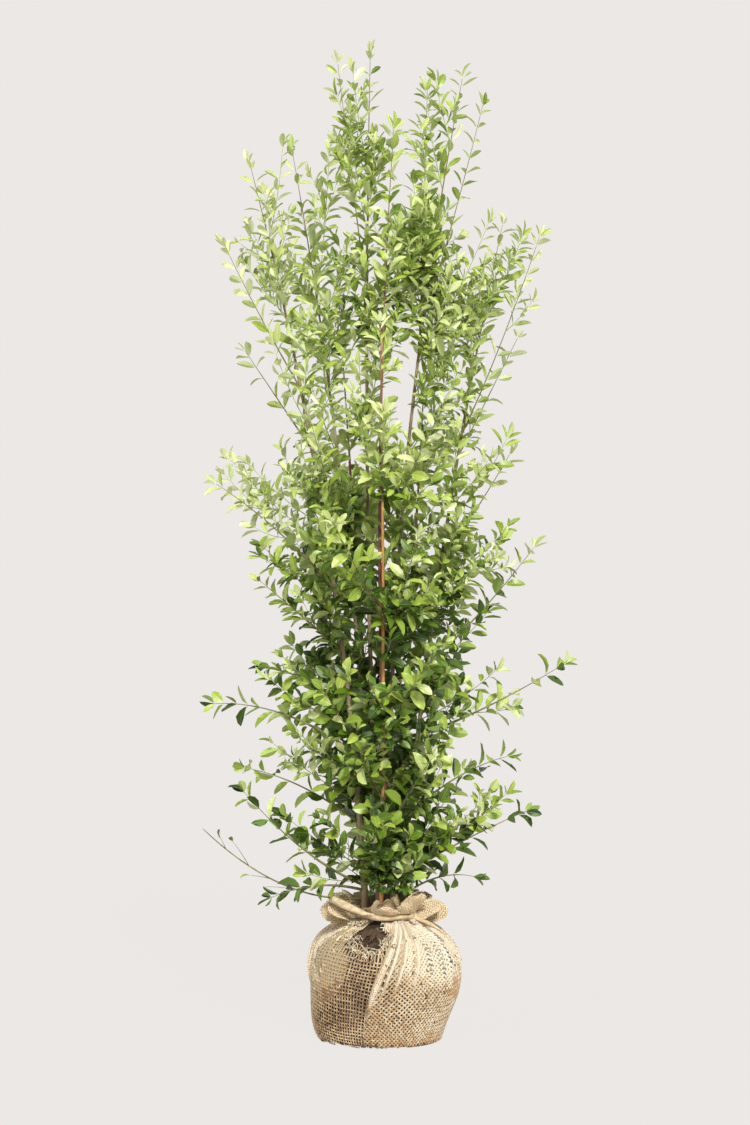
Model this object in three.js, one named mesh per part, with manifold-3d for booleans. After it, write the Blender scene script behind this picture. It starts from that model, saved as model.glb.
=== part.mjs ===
// A young hedging shrub as it is lifted and sold: nine upright stems with oval leaves in pairs, rising from
// a ball of soil that is wrapped in burlap. Millimetres, +Z up. The origin is the middle of the ball's flat
// underside, and the front is towards -Y. Each limb and each mass of foliage is one mesh.
import * as THREE from 'three';
import { mergeVertices } from 'three/addons/utils/BufferGeometryUtils.js';
import Module from 'manifold-3d';

const wasm = await Module();
wasm.setup();

// Driving dimensions of the wrapped ball
const UNDERSIDE_RADIUS = 118;
const WAIST_RADIUS = 149;
const WAIST_HEIGHT = 150;
const NECK_RADIUS = 50;
const NECK_HEIGHT = 236;
const SOIL_HEIGHT = 250;
const BELLY_POWER = 2.2;
const SHOULDER_POWER = 2.6;
const FOLD = { depth: 11, dies: 40, growth: 1.3, fade: 22, waves: [[0.6, 7, 0.4], [0.4, 11, 2.1]] };
const BALL_HEIGHTS = [0, 8, 32, 75, 120, 155, 178, 195, 210, 224, NECK_HEIGHT, SOIL_HEIGHT];
const TEAR = { azimuth: -104, height: 200, depth: 9, halfAngle: 20, halfHeight: 17 };
const ROUND = 40; // sides of the ball, the collar and the tie

// The gathered collar of cloth over the tie: its edge between lobes, and the azimuth, reach and height of
// each lobe
const COLLAR_FOOT = { clearance: 0.4, height: 244.2 };
const COLLAR_THICKNESS = 3.4;
const COLLAR_EDGE = { reach: 60, height: 257 };
const COLLAR_STEPS = [0, 0.35, 0.7, 1];
const COLLAR_CURVE = { out: 1.5, up: 1.7, lobe: 1.4 }; // powers: how late it runs out, how soon it rises
const LOBES = [
  { azimuth: 196, reach: 118, height: 256, half: 26 },
  { azimuth: 160, reach: 112, height: 284, half: 24 },
  { azimuth: 118, reach: 88, height: 282, half: 24 },
  { azimuth: 76, reach: 84, height: 286, half: 24 },
  { azimuth: 34, reach: 96, height: 282, half: 24 },
  { azimuth: -5, reach: 121, height: 259, half: 24 },
  { azimuth: -44, reach: 90, height: 289, half: 22 },
  { azimuth: -88, reach: 74, height: 279, half: 20 },
];

// The tie: a twisted band of cloth round the neck, its knot, and its two ends, the band and a flat corner.
// An end runs through points given by azimuth, reach and height.
const TIE = { inner: 50.4, outer: 58.4, low: 236.6, high: 243.6, bevel: 2, slack: 0.1 };
const KNOT = { azimuth: -28, reach: 65, height: 242, size: [10, 9, 6.5] };
const BAND = {
  radius: 4.6,
  taper: 0.7,
  sides: 6,
  steps: 12,
  route: [[-30, 62, 241], [-70, 61, 241], [-110, 66, 246], [-138, 86, 268], [-160, 112, 287]],
};
const CORNER = {
  radius: 9,
  taper: 0.3,
  sides: 6,
  steps: 5,
  flatness: 0.4,
  route: [[-28, 66, 240], [-24, 98, 228], [-18, 126, 208]],
};

// The stems: foot on the soil, the tip of the last leaf, how far the middle bows sideways, radius at the
// foot, and the share that is bare limb
const STEMS = [
  { foot: [-38, -8], tip: [-265, -30, 1735], bow: [72, 0], radius: 6.4, bare: 0.74 },
  { foot: [-8, -26], tip: [-10, -175, 1410], bow: [10, 20], radius: 4.2, bare: 0.72 },
  { foot: [-24, 18], tip: [-185, 60, 1775], bow: [53, 0], radius: 4.6, bare: 0.76 },
  { foot: [-12, 2], tip: [-30, 10, 1955], bow: [-27, 0], radius: 5.2, bare: 0.76 },
  { foot: [14, -14], tip: [15, -90, 1795], bow: [-50, -10], radius: 4.4, bare: 0.76 },
  { foot: [30, 6], tip: [235, 60, 1625], bow: [-42, 0], radius: 5.2, bare: 0.74 },
  { foot: [10, 12], tip: [150, -30, 1900], bow: [-84, 20], radius: 5.0, bare: 0.75 },
  { foot: [-10, 36], tip: [-100, 185, 1565], bow: [0, 10], radius: 4.6, bare: 0.7 },
  { foot: [20, 36], tip: [90, 215, 1465], bow: [0, 0], radius: 4.6, bare: 0.68 },
];

// The shoots that leave a stem: which stem, the height they leave it at, the tip of the last leaf, how far
// the middle sags below a straight line, and the share that is bare bough. With no bare share the foliage
// starts on the stem.
const SHOOTS = [
  { stem: 0, leaves: 560, tip: [-360, -60, 680], sag: -22, bare: 0.36 },
  { stem: 0, leaves: 650, tip: [-265, 40, 745], sag: -10, bare: 0 },
  { stem: 0, leaves: 420, tip: [-305, 70, 545], sag: -14, bare: 0 },
  { stem: 0, leaves: 300, tip: [-300, -30, 495], sag: 18, bare: 0.45 },
  { stem: 0, leaves: 276, tip: [-350, -100, 420], sag: 42, bare: 1 },
  { stem: 0, leaves: 290, tip: [-245, -130, 300], sag: -12, bare: 0.4 },
  { stem: 0, leaves: 760, tip: [-265, -60, 915], sag: 0, bare: 0 },
  { stem: 0, leaves: 880, tip: [-350, -80, 1110], sag: -12, bare: 0 },
  { stem: 0, leaves: 1150, tip: [-290, 60, 1370], sag: 0, bare: 0 },
  { stem: 0, leaves: 1270, tip: [-320, -70, 1560], sag: 6, bare: 0 },
  { stem: 3, leaves: 1460, tip: [-95, -30, 1925], sag: 10, bare: 0 },
  { stem: 6, leaves: 1345, tip: [85, 60, 1890], sag: 14, bare: 0 },
  { stem: 6, leaves: 1400, tip: [195, -70, 1835], sag: 12, bare: 0 },
  { stem: 5, leaves: 1185, tip: [310, -30, 1585], sag: 14, bare: 0 },
  { stem: 5, leaves: 1140, tip: [275, 90, 1400], sag: 0, bare: 0 },
  { stem: 5, leaves: 940, tip: [260, -30, 1165], sag: 6, bare: 0 },
  { stem: 5, leaves: 730, tip: [315, 30, 980], sag: 10, bare: 0.3 },
  { stem: 5, leaves: 590, tip: [375, -50, 745], sag: 8, bare: 0.36 },
  { stem: 5, leaves: 440, tip: [270, 70, 570], sag: -12, bare: 0 },
  { stem: 5, leaves: 320, tip: [300, -50, 465], sag: -4, bare: 0 },
  { stem: 5, leaves: 276, tip: [205, 40, 335], sag: -12, bare: 0 },
  { stem: 1, leaves: 330, tip: [-30, -250, 500], sag: -10, bare: 0 },
  { stem: 1, leaves: 600, tip: [120, -280, 800], sag: -6, bare: 0 },
  { stem: 1, leaves: 820, tip: [-110, -310, 1030], sag: 0, bare: 0 },
  { stem: 4, leaves: 980, tip: [125, -250, 1260], sag: 0, bare: 0 },
  { stem: 4, leaves: 400, tip: [110, -190, 600], sag: -8, bare: 0 },
  { stem: 1, leaves: 470, tip: [-130, -210, 720], sag: -8, bare: 0 },
  { stem: 4, leaves: 720, tip: [70, -180, 1010], sag: 0, bare: 0 },
  { stem: 2, leaves: 930, tip: [-150, -150, 1230], sag: 0, bare: 0 },
  { stem: 8, leaves: 340, tip: [60, 270, 500], sag: -10, bare: 0 },
  { stem: 7, leaves: 560, tip: [-130, 310, 760], sag: -6, bare: 0 },
  { stem: 8, leaves: 720, tip: [150, 320, 950], sag: -4, bare: 0 },
  { stem: 7, leaves: 960, tip: [-110, 340, 1210], sag: 0, bare: 0 },
];

// How limbs and foliage are made
const SEED = 4021;
const CLEARANCE = 0.3;
const TIP_RADIUS = 1.5;
const LIMB_SIDES = 6;
const STEM_STEPS = 10;
const BOUGH_SIDES = 5;
const BOUGH_STEPS = 5;
const MASS_SIDES = 3;
const MASS_STEPS = 5;
const FOOT_SHARE = 0.02; // how much of a shoot is set against its stem
const SHOOT_FOOT = { share: 0.62, largest: 2.9 }; // a shoot's radius where it leaves, of its stem's there
const TAPER = { stem: 0.9, shoot: 0.8 }; // powers: how soon a limb gets thinner
const SHOOT_TIP = 0.8; // a shoot's radius at its tip, of a stem's
const UPRIGHT = { limb: 0.75, twig: 0.9 }; // how steep counts as upright when a limb or twig is framed
const FOOT_CROWD = 1.6; // draws a stem's rings together towards its flared foot
const FLARE = { share: 0.35, length: 26 };
const TWIG = {
  spacing: 116,
  first: 0.14,
  last: 0.86,
  spread: 0.82,
  lift: 0.3,
  share: 0.45,
  shortest: 70,
  longest: 135,
  radius: 1.5,
  tip: 0.6,
  sag: 0.06,
  leafSpacing: 140,
  bare: 0.2,
  samples: 8,
  strayPlace: 0.3,
  strayTurn: 0.8,
  spreads: [0.8, 1.2],
  reaches: [0.75, 1.25],
};
const LEAF = {
  length: 104,
  width: 50,
  widest: 0.48,
  thickness: 2.2,
  droop: 0.16,
  spacing: 108,
  angle: 0.95,
  sink: 3,
  facesUp: 0.5,
  leastFace: 0.01,
};
const PAIR = {
  first: 0.75,
  spare: 0.4,
  strayTurn: 0.7,
  angles: [0.8, 1.15],
  sizes: [0.82, 1.12],
  shrink: 0.3,
  lastLean: 0.1,
};
const LEAF_SIZES = [1, 0.72, 0.5]; // tried in turn, until a leaf keeps to its mass's space
const HIGH = { above: 1300, leafScale: 0.87 };
const LAST_LEAF = 0.6; // the leaf that ends a shoot, as a share of a full leaf
const SPACE_GAP = 2.2; // how much nearer to its own stem than to another's a leaf has to be
const STEM_ROOM = 6; // how far a leaf or twig keeps from the middle of another mass's stem
const LIMB_GAP = 1.6;
const GOLDEN_TURN = 2.39996;
const AXIS_SAMPLES = 14;
const NUDGE = 0.01; // half the stretch over which the collar's slope is taken
const CLOSE = 1e-4; // how near a search for a foot's place has to come
const FINE = 1e-6; // how near a search for a height has to come
const WELD = 1e-3;
const TRIM = 0.12; // faces closer than this to flat are joined

const BARK = { color: 0x6f5a45, roughness: 0.85, metalness: 0 };
const FOLIAGE = { color: 0x7fa64a, roughness: 0.5, metalness: 0 };
const BURLAP = { color: 0xcdb591, roughness: 0.95, metalness: 0 };
const UP = new THREE.Vector3(0, 0, 1);
const SIDE = new THREE.Vector3(1, 0, 0);

// A repeatable source of numbers from 0 to 1
function seeded(seed) {
  let state = seed >>> 0;
  return () => {
    state = (state + 0x6d2b79f5) >>> 0;
    let t = Math.imul(state ^ (state >>> 15), state | 1);
    t ^= t + Math.imul(t ^ (t >>> 7), t | 61);
    return ((t ^ (t >>> 14)) >>> 0) / 4294967296;
  };
}

const radians = (degrees) => (degrees * Math.PI) / 180;
const mix = (a, b, share) => a + (b - a) * share;

function round(azimuth, reach, height) {
  const angle = radians(azimuth);
  return new THREE.Vector3(reach * Math.cos(angle), reach * Math.sin(angle), height);
}

// Meshes and solids
function solidOf(geometry) {
  const bare = new THREE.BufferGeometry();
  bare.setAttribute('position', geometry.getAttribute('position'));
  bare.setIndex(geometry.getIndex());
  const merged = mergeVertices(bare, WELD);
  return new wasm.Manifold(
    new wasm.Mesh({
      numProp: 3,
      vertProperties: new Float32Array(merged.attributes.position.array),
      triVerts: new Uint32Array(merged.index.array),
    }),
  );
}

function meshOf(name, solid, look) {
  const { vertProperties, triVerts } = solid.getMesh();
  const geometry = new THREE.BufferGeometry();
  geometry.setAttribute('position', new THREE.BufferAttribute(vertProperties, 3));
  geometry.setIndex(new THREE.BufferAttribute(triVerts, 1));
  geometry.computeVertexNormals();
  const mesh = new THREE.Mesh(geometry, new THREE.MeshStandardMaterial(look));
  mesh.name = name;
  return mesh;
}

// The largest body of a solid, with any hollow that fusing sealed left out
function largestBody(solid) {
  const bodies = solid.decompose().filter((body) => body.volume() > 0);
  return bodies.reduce((best, body) => (body.volume() > best.volume() ? body : best));
}

// A closed surface from rings of points round the Z axis, capped at both ends or closed on itself
function ringSolid(shares, pointAt, closed) {
  const rows = shares.length;
  const wide = new THREE.PlaneGeometry(1, 1, ROUND, rows - 1);
  const position = wide.getAttribute('position');
  for (let row = 0; row < rows; row++) {
    for (let k = 0; k <= ROUND; k++) {
      const p = pointAt(shares[row], (2 * Math.PI * (k % ROUND)) / ROUND);
      position.setXYZ(row * (ROUND + 1) + k, p.x, p.y, p.z);
    }
  }
  if (closed) return solidOf(wide);
  const index = Array.from(wide.getIndex().array);
  const points = Array.from(position.array);
  for (const [row, turned] of [[0, true], [rows - 1, false]]) {
    const middle = points.length / 3;
    const height = position.getZ(row * (ROUND + 1));
    points.push(0, 0, height);
    for (let k = 0; k < ROUND; k++) {
      const a = row * (ROUND + 1) + k;
      index.push(...(turned ? [middle, a, a + 1] : [middle, a + 1, a]));
    }
  }
  const capped = new THREE.BufferGeometry();
  capped.setAttribute('position', new THREE.BufferAttribute(new Float32Array(points), 3));
  capped.setIndex(index);
  return solidOf(capped);
}

// The wrapped ball
function ballRadius(height) {
  if (height <= WAIST_HEIGHT) {
    const rest = 1 - height / WAIST_HEIGHT;
    return mix(UNDERSIDE_RADIUS, WAIST_RADIUS, 1 - rest ** BELLY_POWER);
  }
  const climb = Math.min(1, (height - WAIST_HEIGHT) / (NECK_HEIGHT - WAIST_HEIGHT));
  return mix(WAIST_RADIUS, NECK_RADIUS, climb ** SHOULDER_POWER);
}

// An angle brought between minus and plus half a turn
const wrapped = (angle) => Math.atan2(Math.sin(angle), Math.cos(angle));

// Gathers in the cloth run down from the neck and die away over the waist
function foldAt(angle, height) {
  const above = Math.max(0, (height - FOLD.dies) / (NECK_HEIGHT - FOLD.dies));
  const fade = Math.max(0, Math.min(1, (NECK_HEIGHT - height) / FOLD.fade));
  const addWave = (sum, [size, count, shift]) => sum + size * Math.sin(count * angle + shift);
  const wave = FOLD.waves.reduce(addWave, 0);
  return FOLD.depth * above ** FOLD.growth * fade * wave;
}

function tearAt(angle, height) {
  const across = wrapped(angle - radians(TEAR.azimuth)) / radians(TEAR.halfAngle);
  const up = (height - TEAR.height) / TEAR.halfHeight;
  return -TEAR.depth * Math.exp(-(across ** 2 + up ** 2));
}

function ballPoint(height, angle) {
  const reach = ballRadius(height) + foldAt(angle, height) + (height > 0 ? tearAt(angle, height) : 0);
  return new THREE.Vector3(reach * Math.cos(angle), reach * Math.sin(angle), height);
}

function makeBall() {
  return ringSolid([...BALL_HEIGHTS].reverse(), (height, angle) => ballPoint(height, angle), false);
}

// The collar: a funnel of cloth whose edge runs out into lobes
function collarEdge(angle) {
  let { reach, height } = COLLAR_EDGE;
  for (const lobe of LOBES) {
    const turn = wrapped(angle - radians(lobe.azimuth)) / radians(lobe.half);
    if (Math.abs(turn) >= 1) continue;
    const rise = Math.cos((turn * Math.PI) / 2) ** COLLAR_CURVE.lobe;
    reach = Math.max(reach, mix(COLLAR_EDGE.reach, lobe.reach, rise));
    height = Math.max(height, mix(COLLAR_EDGE.height, lobe.height, rise));
  }
  return { reach, height };
}

// A point of the cloth's middle, as its reach from the Z axis and its height
function collarMiddle(share, edge) {
  const foot = NECK_RADIUS + COLLAR_FOOT.clearance + COLLAR_THICKNESS / 2;
  const reach = mix(foot, edge.reach, share ** COLLAR_CURVE.out);
  return new THREE.Vector2(reach, mix(edge.height, COLLAR_FOOT.height, (1 - share) ** COLLAR_CURVE.up));
}

function collarPoint(share, angle, outside) {
  const edge = collarEdge(angle);
  const p = collarMiddle(share, edge);
  const next = collarMiddle(Math.min(1, share + NUDGE), edge);
  const along = next.sub(collarMiddle(Math.max(0, share - NUDGE), edge)).normalize();
  const push = (outside ? 1 : -1) * (COLLAR_THICKNESS / 2);
  const reach = p.x + push * (share === 0 ? 1 : along.y);
  const height = p.y - push * (share === 0 ? 0 : along.x);
  return new THREE.Vector3(reach * Math.cos(angle), reach * Math.sin(angle), height);
}

function makeCollar() {
  const inside = COLLAR_STEPS.map((share) => [share, false]);
  const outside = [...COLLAR_STEPS].reverse().map((share) => [share, true]);
  const loop = [...inside, ...outside, inside[0]];
  return ringSolid(loop, ([share, isOutside], angle) => collarPoint(share, angle, isOutside), true);
}

// A limb: a cylinder bent along a path, whose radius follows its own share of the way
function frameAt(path, share, reference) {
  const along = path.getTangent(share);
  const across = reference.clone().addScaledVector(along, -reference.dot(along)).normalize();
  const side = new THREE.Vector3().crossVectors(across, along);
  return { centre: path.getPoint(share), along, across, side };
}

function limbSolid(limb) {
  const { path, from = 0, to = 1, radiusAt, sides, steps } = limb;
  const { flatness = 1, levelFoot = false, crowd = 1 } = limb;
  const chord = path.getPoint(1).sub(path.getPoint(0)).normalize();
  const reference = Math.abs(chord.z) > UPRIGHT.limb ? SIDE : UP;
  const tube = new THREE.CylinderGeometry(1, 1, 1, sides, steps);
  const position = tube.getAttribute('position');
  for (let i = 0; i < position.count; i++) {
    const share = mix(from, to, (position.getY(i) + 0.5) ** crowd);
    const { centre, across, side } = frameAt(path, share, reference);
    const radius = radiusAt(share);
    centre.addScaledVector(across, position.getX(i) * radius * flatness);
    centre.addScaledVector(side, position.getZ(i) * radius);
    if (levelFoot && share === from) centre.z = path.getPoint(from).z;
    position.setXYZ(i, centre.x, centre.y, centre.z);
  }
  return solidOf(tube);
}

// The tie
function tieEnd({ radius, taper, route, ...detail }, grow) {
  return limbSolid({
    ...detail,
    path: new THREE.CatmullRomCurve3(route.map((place) => round(...place))),
    radiusAt: (share) => mix(radius, radius * taper, share ** 2) + grow,
  });
}

function makeTie(grow) {
  const [inner, outer] = [TIE.inner - grow, TIE.outer + grow];
  const [low, high] = [TIE.low - grow, TIE.high + grow];
  const shoulder = outer - TIE.bevel;
  const middle = (low + high) / 2;
  const section = [[inner, low], [shoulder, low], [outer, middle], [shoulder, high], [inner, high]];
  const pointAt = ([reach, height], angle) =>
    new THREE.Vector3(reach * Math.cos(angle), reach * Math.sin(angle), height);
  const ring = ringSolid([...section, section[0]].reverse(), pointAt, true);
  const lump = new THREE.IcosahedronGeometry(1, 1);
  const [sx, sy, sz] = KNOT.size;
  lump.scale(sx + grow, sy + grow, sz + grow);
  lump.rotateZ(radians(KNOT.azimuth));
  const at = round(KNOT.azimuth, KNOT.reach, KNOT.height);
  lump.translate(at.x, at.y, at.z);
  return ring.add(tieEnd(BAND, grow)).add(tieEnd(CORNER, grow)).add(solidOf(lump));
}

// Paths of the limbs
function bowedPath(start, end, offset) {
  const control = start.clone().add(end).multiplyScalar(0.5).add(offset);
  return new THREE.QuadraticBezierCurve3(start, control, end);
}

// Leaves are smaller towards the top
const leafScaleOf = (tip) => (tip[2] > HIGH.above ? HIGH.leafScale : 1);

// Where a limb ends so that its last leaf reaches the tip
function endBefore(tip, start) {
  const end = new THREE.Vector3(...tip);
  const reach = LEAF.length * LAST_LEAF * leafScaleOf(tip) - LEAF.sink;
  return end.addScaledVector(start.clone().sub(end).normalize(), reach);
}

function stemPath({ foot, tip, bow }) {
  const start = new THREE.Vector3(foot[0], foot[1], SOIL_HEIGHT + CLEARANCE);
  return bowedPath(start, endBefore(tip, start), new THREE.Vector3(bow[0], bow[1], 0));
}

function shareAtHeight(path, height) {
  let [low, high] = [0, 1];
  while (high - low > FINE) {
    const middle = (low + high) / 2;
    if (path.getPoint(middle).z < height) low = middle;
    else high = middle;
  }
  return low;
}

function stemRadius(stem, share) {
  const rise = share * (stem.tip[2] - SOIL_HEIGHT);
  const taper = mix(TIP_RADIUS, stem.radius, (1 - share) ** TAPER.stem);
  return taper * (1 + FLARE.share * Math.exp(-rise / FLARE.length));
}

const limbDetail = (limb) =>
  limb.stem
    ? { sides: LIMB_SIDES, steps: STEM_STEPS, crowd: FOOT_CROWD, levelFoot: true }
    : { sides: BOUGH_SIDES, steps: BOUGH_STEPS };

// The share of a side shoot's path at which its foot stands just clear of the stem that it leaves
function footShare({ path, radiusAt, sides }, stemSolid) {
  let [low, high] = [0, 0.5];
  while (high - low > CLOSE) {
    const middle = (low + high) / 2;
    const foot = limbSolid({ path, from: middle, to: middle + FOOT_SHARE, radiusAt, sides, steps: 1 });
    if (foot.minGap(stemSolid, 2 * CLEARANCE) < CLEARANCE) low = middle;
    else high = middle;
  }
  return high;
}

const stems = STEMS.map((stem) => {
  const path = stemPath(stem);
  const limb = { path, from: 0, to: stem.bare, radiusAt: (share) => stemRadius(stem, share), stem: true };
  return { ...stem, path, limb, solid: limbSolid({ ...limb, ...limbDetail(limb) }) };
});

const shoots = SHOOTS.map((shoot) => {
  const stem = stems[shoot.stem];
  const at = shareAtHeight(stem.path, shoot.leaves);
  const origin = stem.path.getPoint(at);
  const end = shoot.bare < 1 ? endBefore(shoot.tip, origin) : new THREE.Vector3(...shoot.tip);
  const path = bowedPath(origin, end, new THREE.Vector3(0, 0, -2 * shoot.sag));
  const foot = Math.min(SHOOT_FOOT.largest, SHOOT_FOOT.share * stemRadius(stem, at));
  const radiusAt = (share) => mix(TIP_RADIUS * SHOOT_TIP, foot, (1 - share) ** TAPER.shoot);
  const sides = shoot.bare > 0 ? BOUGH_SIDES : MASS_SIDES;
  return { ...shoot, path, radiusAt, start: footShare({ path, radiusAt, sides }, stem.solid) };
});

// A gap along a path as a share of its length
const gapShare = (path) => CLEARANCE / path.getLength();

const limbs = [
  ...stems.map((stem) => stem.limb),
  ...shoots
    .filter((shoot) => shoot.bare > 0)
    .map(({ path, start, bare, radiusAt }) => ({ path, from: start, to: bare, radiusAt, stem: false })),
];

// Each mass of foliage grows along the rest of its stem's or shoot's path
const masses = [
  ...stems.map((stem) => ({
    path: stem.path,
    from: stem.bare + gapShare(stem.path),
    radiusAt: stem.limb.radiusAt,
    leafScale: leafScaleOf(stem.tip),
  })),
  ...shoots
    .filter((shoot) => shoot.bare < 1)
    .map((shoot) => ({
      path: shoot.path,
      from: shoot.bare > 0 ? shoot.bare + gapShare(shoot.path) : shoot.start,
      radiusAt: shoot.radiusAt,
      leafScale: leafScaleOf(shoot.tip),
    })),
];

// Spaces: a point belongs to the mass whose own stem is nearest
for (const mass of masses) {
  mass.axis = [];
  for (let k = 0; k <= AXIS_SAMPLES; k++) {
    mass.axis.push(mass.path.getPoint(mix(mass.from, 1, k / AXIS_SAMPLES)));
  }
}

const segment = new THREE.Line3();
const nearest = new THREE.Vector3();

function distanceToAxis(point, axis) {
  let best = Infinity;
  for (let k = 0; k + 1 < axis.length; k++) {
    segment.set(axis[k], axis[k + 1]).closestPointToPoint(point, true, nearest);
    best = Math.min(best, nearest.distanceTo(point));
  }
  return best;
}

function inOwnSpace(points, mass) {
  return points.every((point) => {
    const own = Math.max(distanceToAxis(point, mass.axis) + SPACE_GAP, STEM_ROOM);
    return masses.every((other) => other === mass || distanceToAxis(point, other.axis) > own);
  });
}

// The limbs, grown by the gap that foliage leaves round them
const grownLimbs = limbs.map((limb) => {
  const radiusAt = (share) => limb.radiusAt(share) + LIMB_GAP;
  return limbSolid({ ...limb, ...limbDetail(limb), radiusAt });
});
const limbRoom = wasm.Manifold.union(grownLimbs);
const clearOfLimbs = (solid) => solid.intersect(limbRoom).isEmpty();

// Leaves and twigs. A leaf's blade faces up and outwards as far as its direction lets it.
function leafFrame({ base, along }) {
  const outwards = new THREE.Vector3(base.x, base.y, 0).normalize();
  const face = UP.clone().multiplyScalar(LEAF.facesUp).addScaledVector(outwards, 1 - LEAF.facesUp);
  face.addScaledVector(along, -face.dot(along));
  if (face.length() < LEAF.leastFace) face.copy(SIDE).addScaledVector(along, -SIDE.dot(along));
  face.normalize();
  const across = new THREE.Vector3().crossVectors(along, face);
  return new THREE.Matrix4().makeBasis(across, along, face).setPosition(base);
}

// A direction square to a limb, and one that leans away from the limb at an angle
function squareTo(tangent) {
  const reference = Math.abs(tangent.z) > UPRIGHT.twig ? SIDE : UP;
  return new THREE.Vector3().crossVectors(tangent, reference).normalize();
}

const leaning = (tangent, out, angle) =>
  tangent.clone().multiplyScalar(Math.cos(angle)).addScaledVector(out, Math.sin(angle)).normalize();

function leafPoint(leaf, across, up, above) {
  const droop = -LEAF.droop * leaf.length * up ** 2;
  const depth = droop + (above * LEAF.thickness) / 2;
  return new THREE.Vector3((across * leaf.width) / 2, up * leaf.length, depth);
}

function leafSolid(leaf) {
  const blade = new THREE.OctahedronGeometry(1);
  const position = blade.getAttribute('position');
  const frame = leafFrame(leaf);
  for (let i = 0; i < position.count; i++) {
    const up = position.getY(i);
    const along = up > 0.5 ? 1 : up < -0.5 ? 0 : LEAF.widest;
    const p = leafPoint(leaf, position.getX(i), along, position.getZ(i)).applyMatrix4(frame);
    position.setXYZ(i, p.x, p.y, p.z);
  }
  return solidOf(blade);
}

function leafOf(base, along, size) {
  return { base, along, length: LEAF.length * size, width: LEAF.width * size };
}
const sizedLeaf = (leaf, size) => ({ ...leaf, length: leaf.length * size, width: leaf.width * size });

// Places on a leaf, across and along it, that have to keep to the mass's space
const MIDDLE_SPOTS = [[0, 0.3], [0, 0.5], [0, 0.75], [0, 1]];
const EDGE_SPOTS = [[1, LEAF.widest], [0.5, 0.74], [0.6, 0.3]];
const LEAF_SPOTS = [...MIDDLE_SPOTS, ...EDGE_SPOTS, ...EDGE_SPOTS.map(([across, up]) => [-across, up])];

function leafSamples(leaf) {
  const frame = leafFrame(leaf);
  return LEAF_SPOTS.map(([across, up]) => leafPoint(leaf, across, up, 0).applyMatrix4(frame));
}

// Pairs of leaves along a twig, each pair at right angles to the last, and a leaf that ends it
function leavesAlong(path, from, to, spacing, scale, random) {
  const length = path.getLength() * (to - from);
  const pairs = Math.max(1, Math.round(length / spacing));
  const leaves = [];
  for (let k = 0; k < pairs; k++) {
    const share = mix(from, to, (k + PAIR.first) / (pairs + PAIR.spare));
    const tangent = path.getTangent(share);
    const turn = (k % 2) * (Math.PI / 2) + PAIR.strayTurn * (random() - 0.5);
    for (const half of [0, Math.PI]) {
      const out = squareTo(tangent).applyAxisAngle(tangent, turn + half);
      const along = leaning(tangent, out, LEAF.angle * mix(...PAIR.angles, random()));
      const size = scale * mix(...PAIR.sizes, random()) * (1 - PAIR.shrink * (k / pairs));
      leaves.push(leafOf(path.getPoint(share), along, size));
    }
  }
  const tangent = path.getTangent(to);
  const base = path.getPoint(to).addScaledVector(tangent, -LEAF.sink);
  leaves.push(leafOf(base, leaning(tangent, UP, PAIR.lastLean), scale * LAST_LEAF));
  return leaves;
}

// Side twigs leave a shoot one by one, turned by the golden angle, and get shorter towards its tip
function sideTwigs(path, from, random) {
  const length = path.getLength() * (1 - from);
  const count = Math.max(2, Math.round(length / TWIG.spacing));
  const twigs = [];
  for (let k = 0; k < count; k++) {
    const place = mix(TWIG.first, TWIG.last, (k + TWIG.strayPlace * random()) / count);
    const share = mix(from, 1, place);
    const tangent = path.getTangent(share);
    const out = squareTo(tangent).applyAxisAngle(tangent, GOLDEN_TURN * k + TWIG.strayTurn * random());
    const heading = leaning(tangent, out, TWIG.spread * mix(...TWIG.spreads, random()));
    heading.addScaledVector(UP, TWIG.lift).normalize();
    const wanted = TWIG.share * length * (1 - place) * mix(...TWIG.reaches, random());
    const reach = Math.min(TWIG.longest, Math.max(TWIG.shortest, wanted));
    const start = path.getPoint(share);
    const end = start.clone().addScaledVector(heading, reach);
    twigs.push(bowedPath(start, end, new THREE.Vector3(0, 0, -TWIG.sag * reach)));
  }
  return twigs;
}

// One mass: a stem, its side twigs and their leaves, fused. A twig or leaf that would leave the space or
// touch a limb is skipped.
function makeMass(mass, number) {
  const random = seeded(SEED + number);
  const { path, from, radiusAt } = mass;
  let solid = limbSolid({ path, from, to: 1, radiusAt, sides: MASS_SIDES, steps: MASS_STEPS });
  const leaves = leavesAlong(path, from, 1, LEAF.spacing, mass.leafScale, random);
  for (const twig of sideTwigs(path, from, random)) {
    const own = leavesAlong(twig, TWIG.bare, 1, TWIG.leafSpacing, mass.leafScale, random);
    const taper = (share) => mix(TWIG.radius, TWIG.radius * TWIG.tip, share);
    const limb = limbSolid({ path: twig, radiusAt: taper, sides: MASS_SIDES, steps: 1 });
    if (!inOwnSpace(twig.getPoints(TWIG.samples).slice(1), mass) || !clearOfLimbs(limb)) continue;
    solid = solid.add(limb);
    leaves.push(...own);
  }
  for (const leaf of leaves) {
    for (const size of LEAF_SIZES) {
      const sized = sizedLeaf(leaf, size);
      const blade = leafSolid(sized);
      if (!inOwnSpace(leafSamples(sized), mass) || !clearOfLimbs(blade)) continue;
      solid = solid.add(blade);
      break;
    }
  }
  return largestBody(solid.simplify(TRIM));
}

const plant = new THREE.Group();
plant.add(meshOf('root_ball', makeBall(), BURLAP));
const collar = makeCollar().subtract(makeTie(CLEARANCE + TIE.slack));
plant.add(meshOf('burlap_collar', largestBody(collar), BURLAP));
plant.add(meshOf('burlap_tie', makeTie(0), BURLAP));

let boughs = 0;
let trunks = 0;
for (const limb of limbs) {
  const name = limb.stem ? `stem_${++trunks}` : `bough_${String(++boughs).padStart(2, '0')}`;
  plant.add(meshOf(name, limbSolid({ ...limb, ...limbDetail(limb) }), BARK));
}

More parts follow.
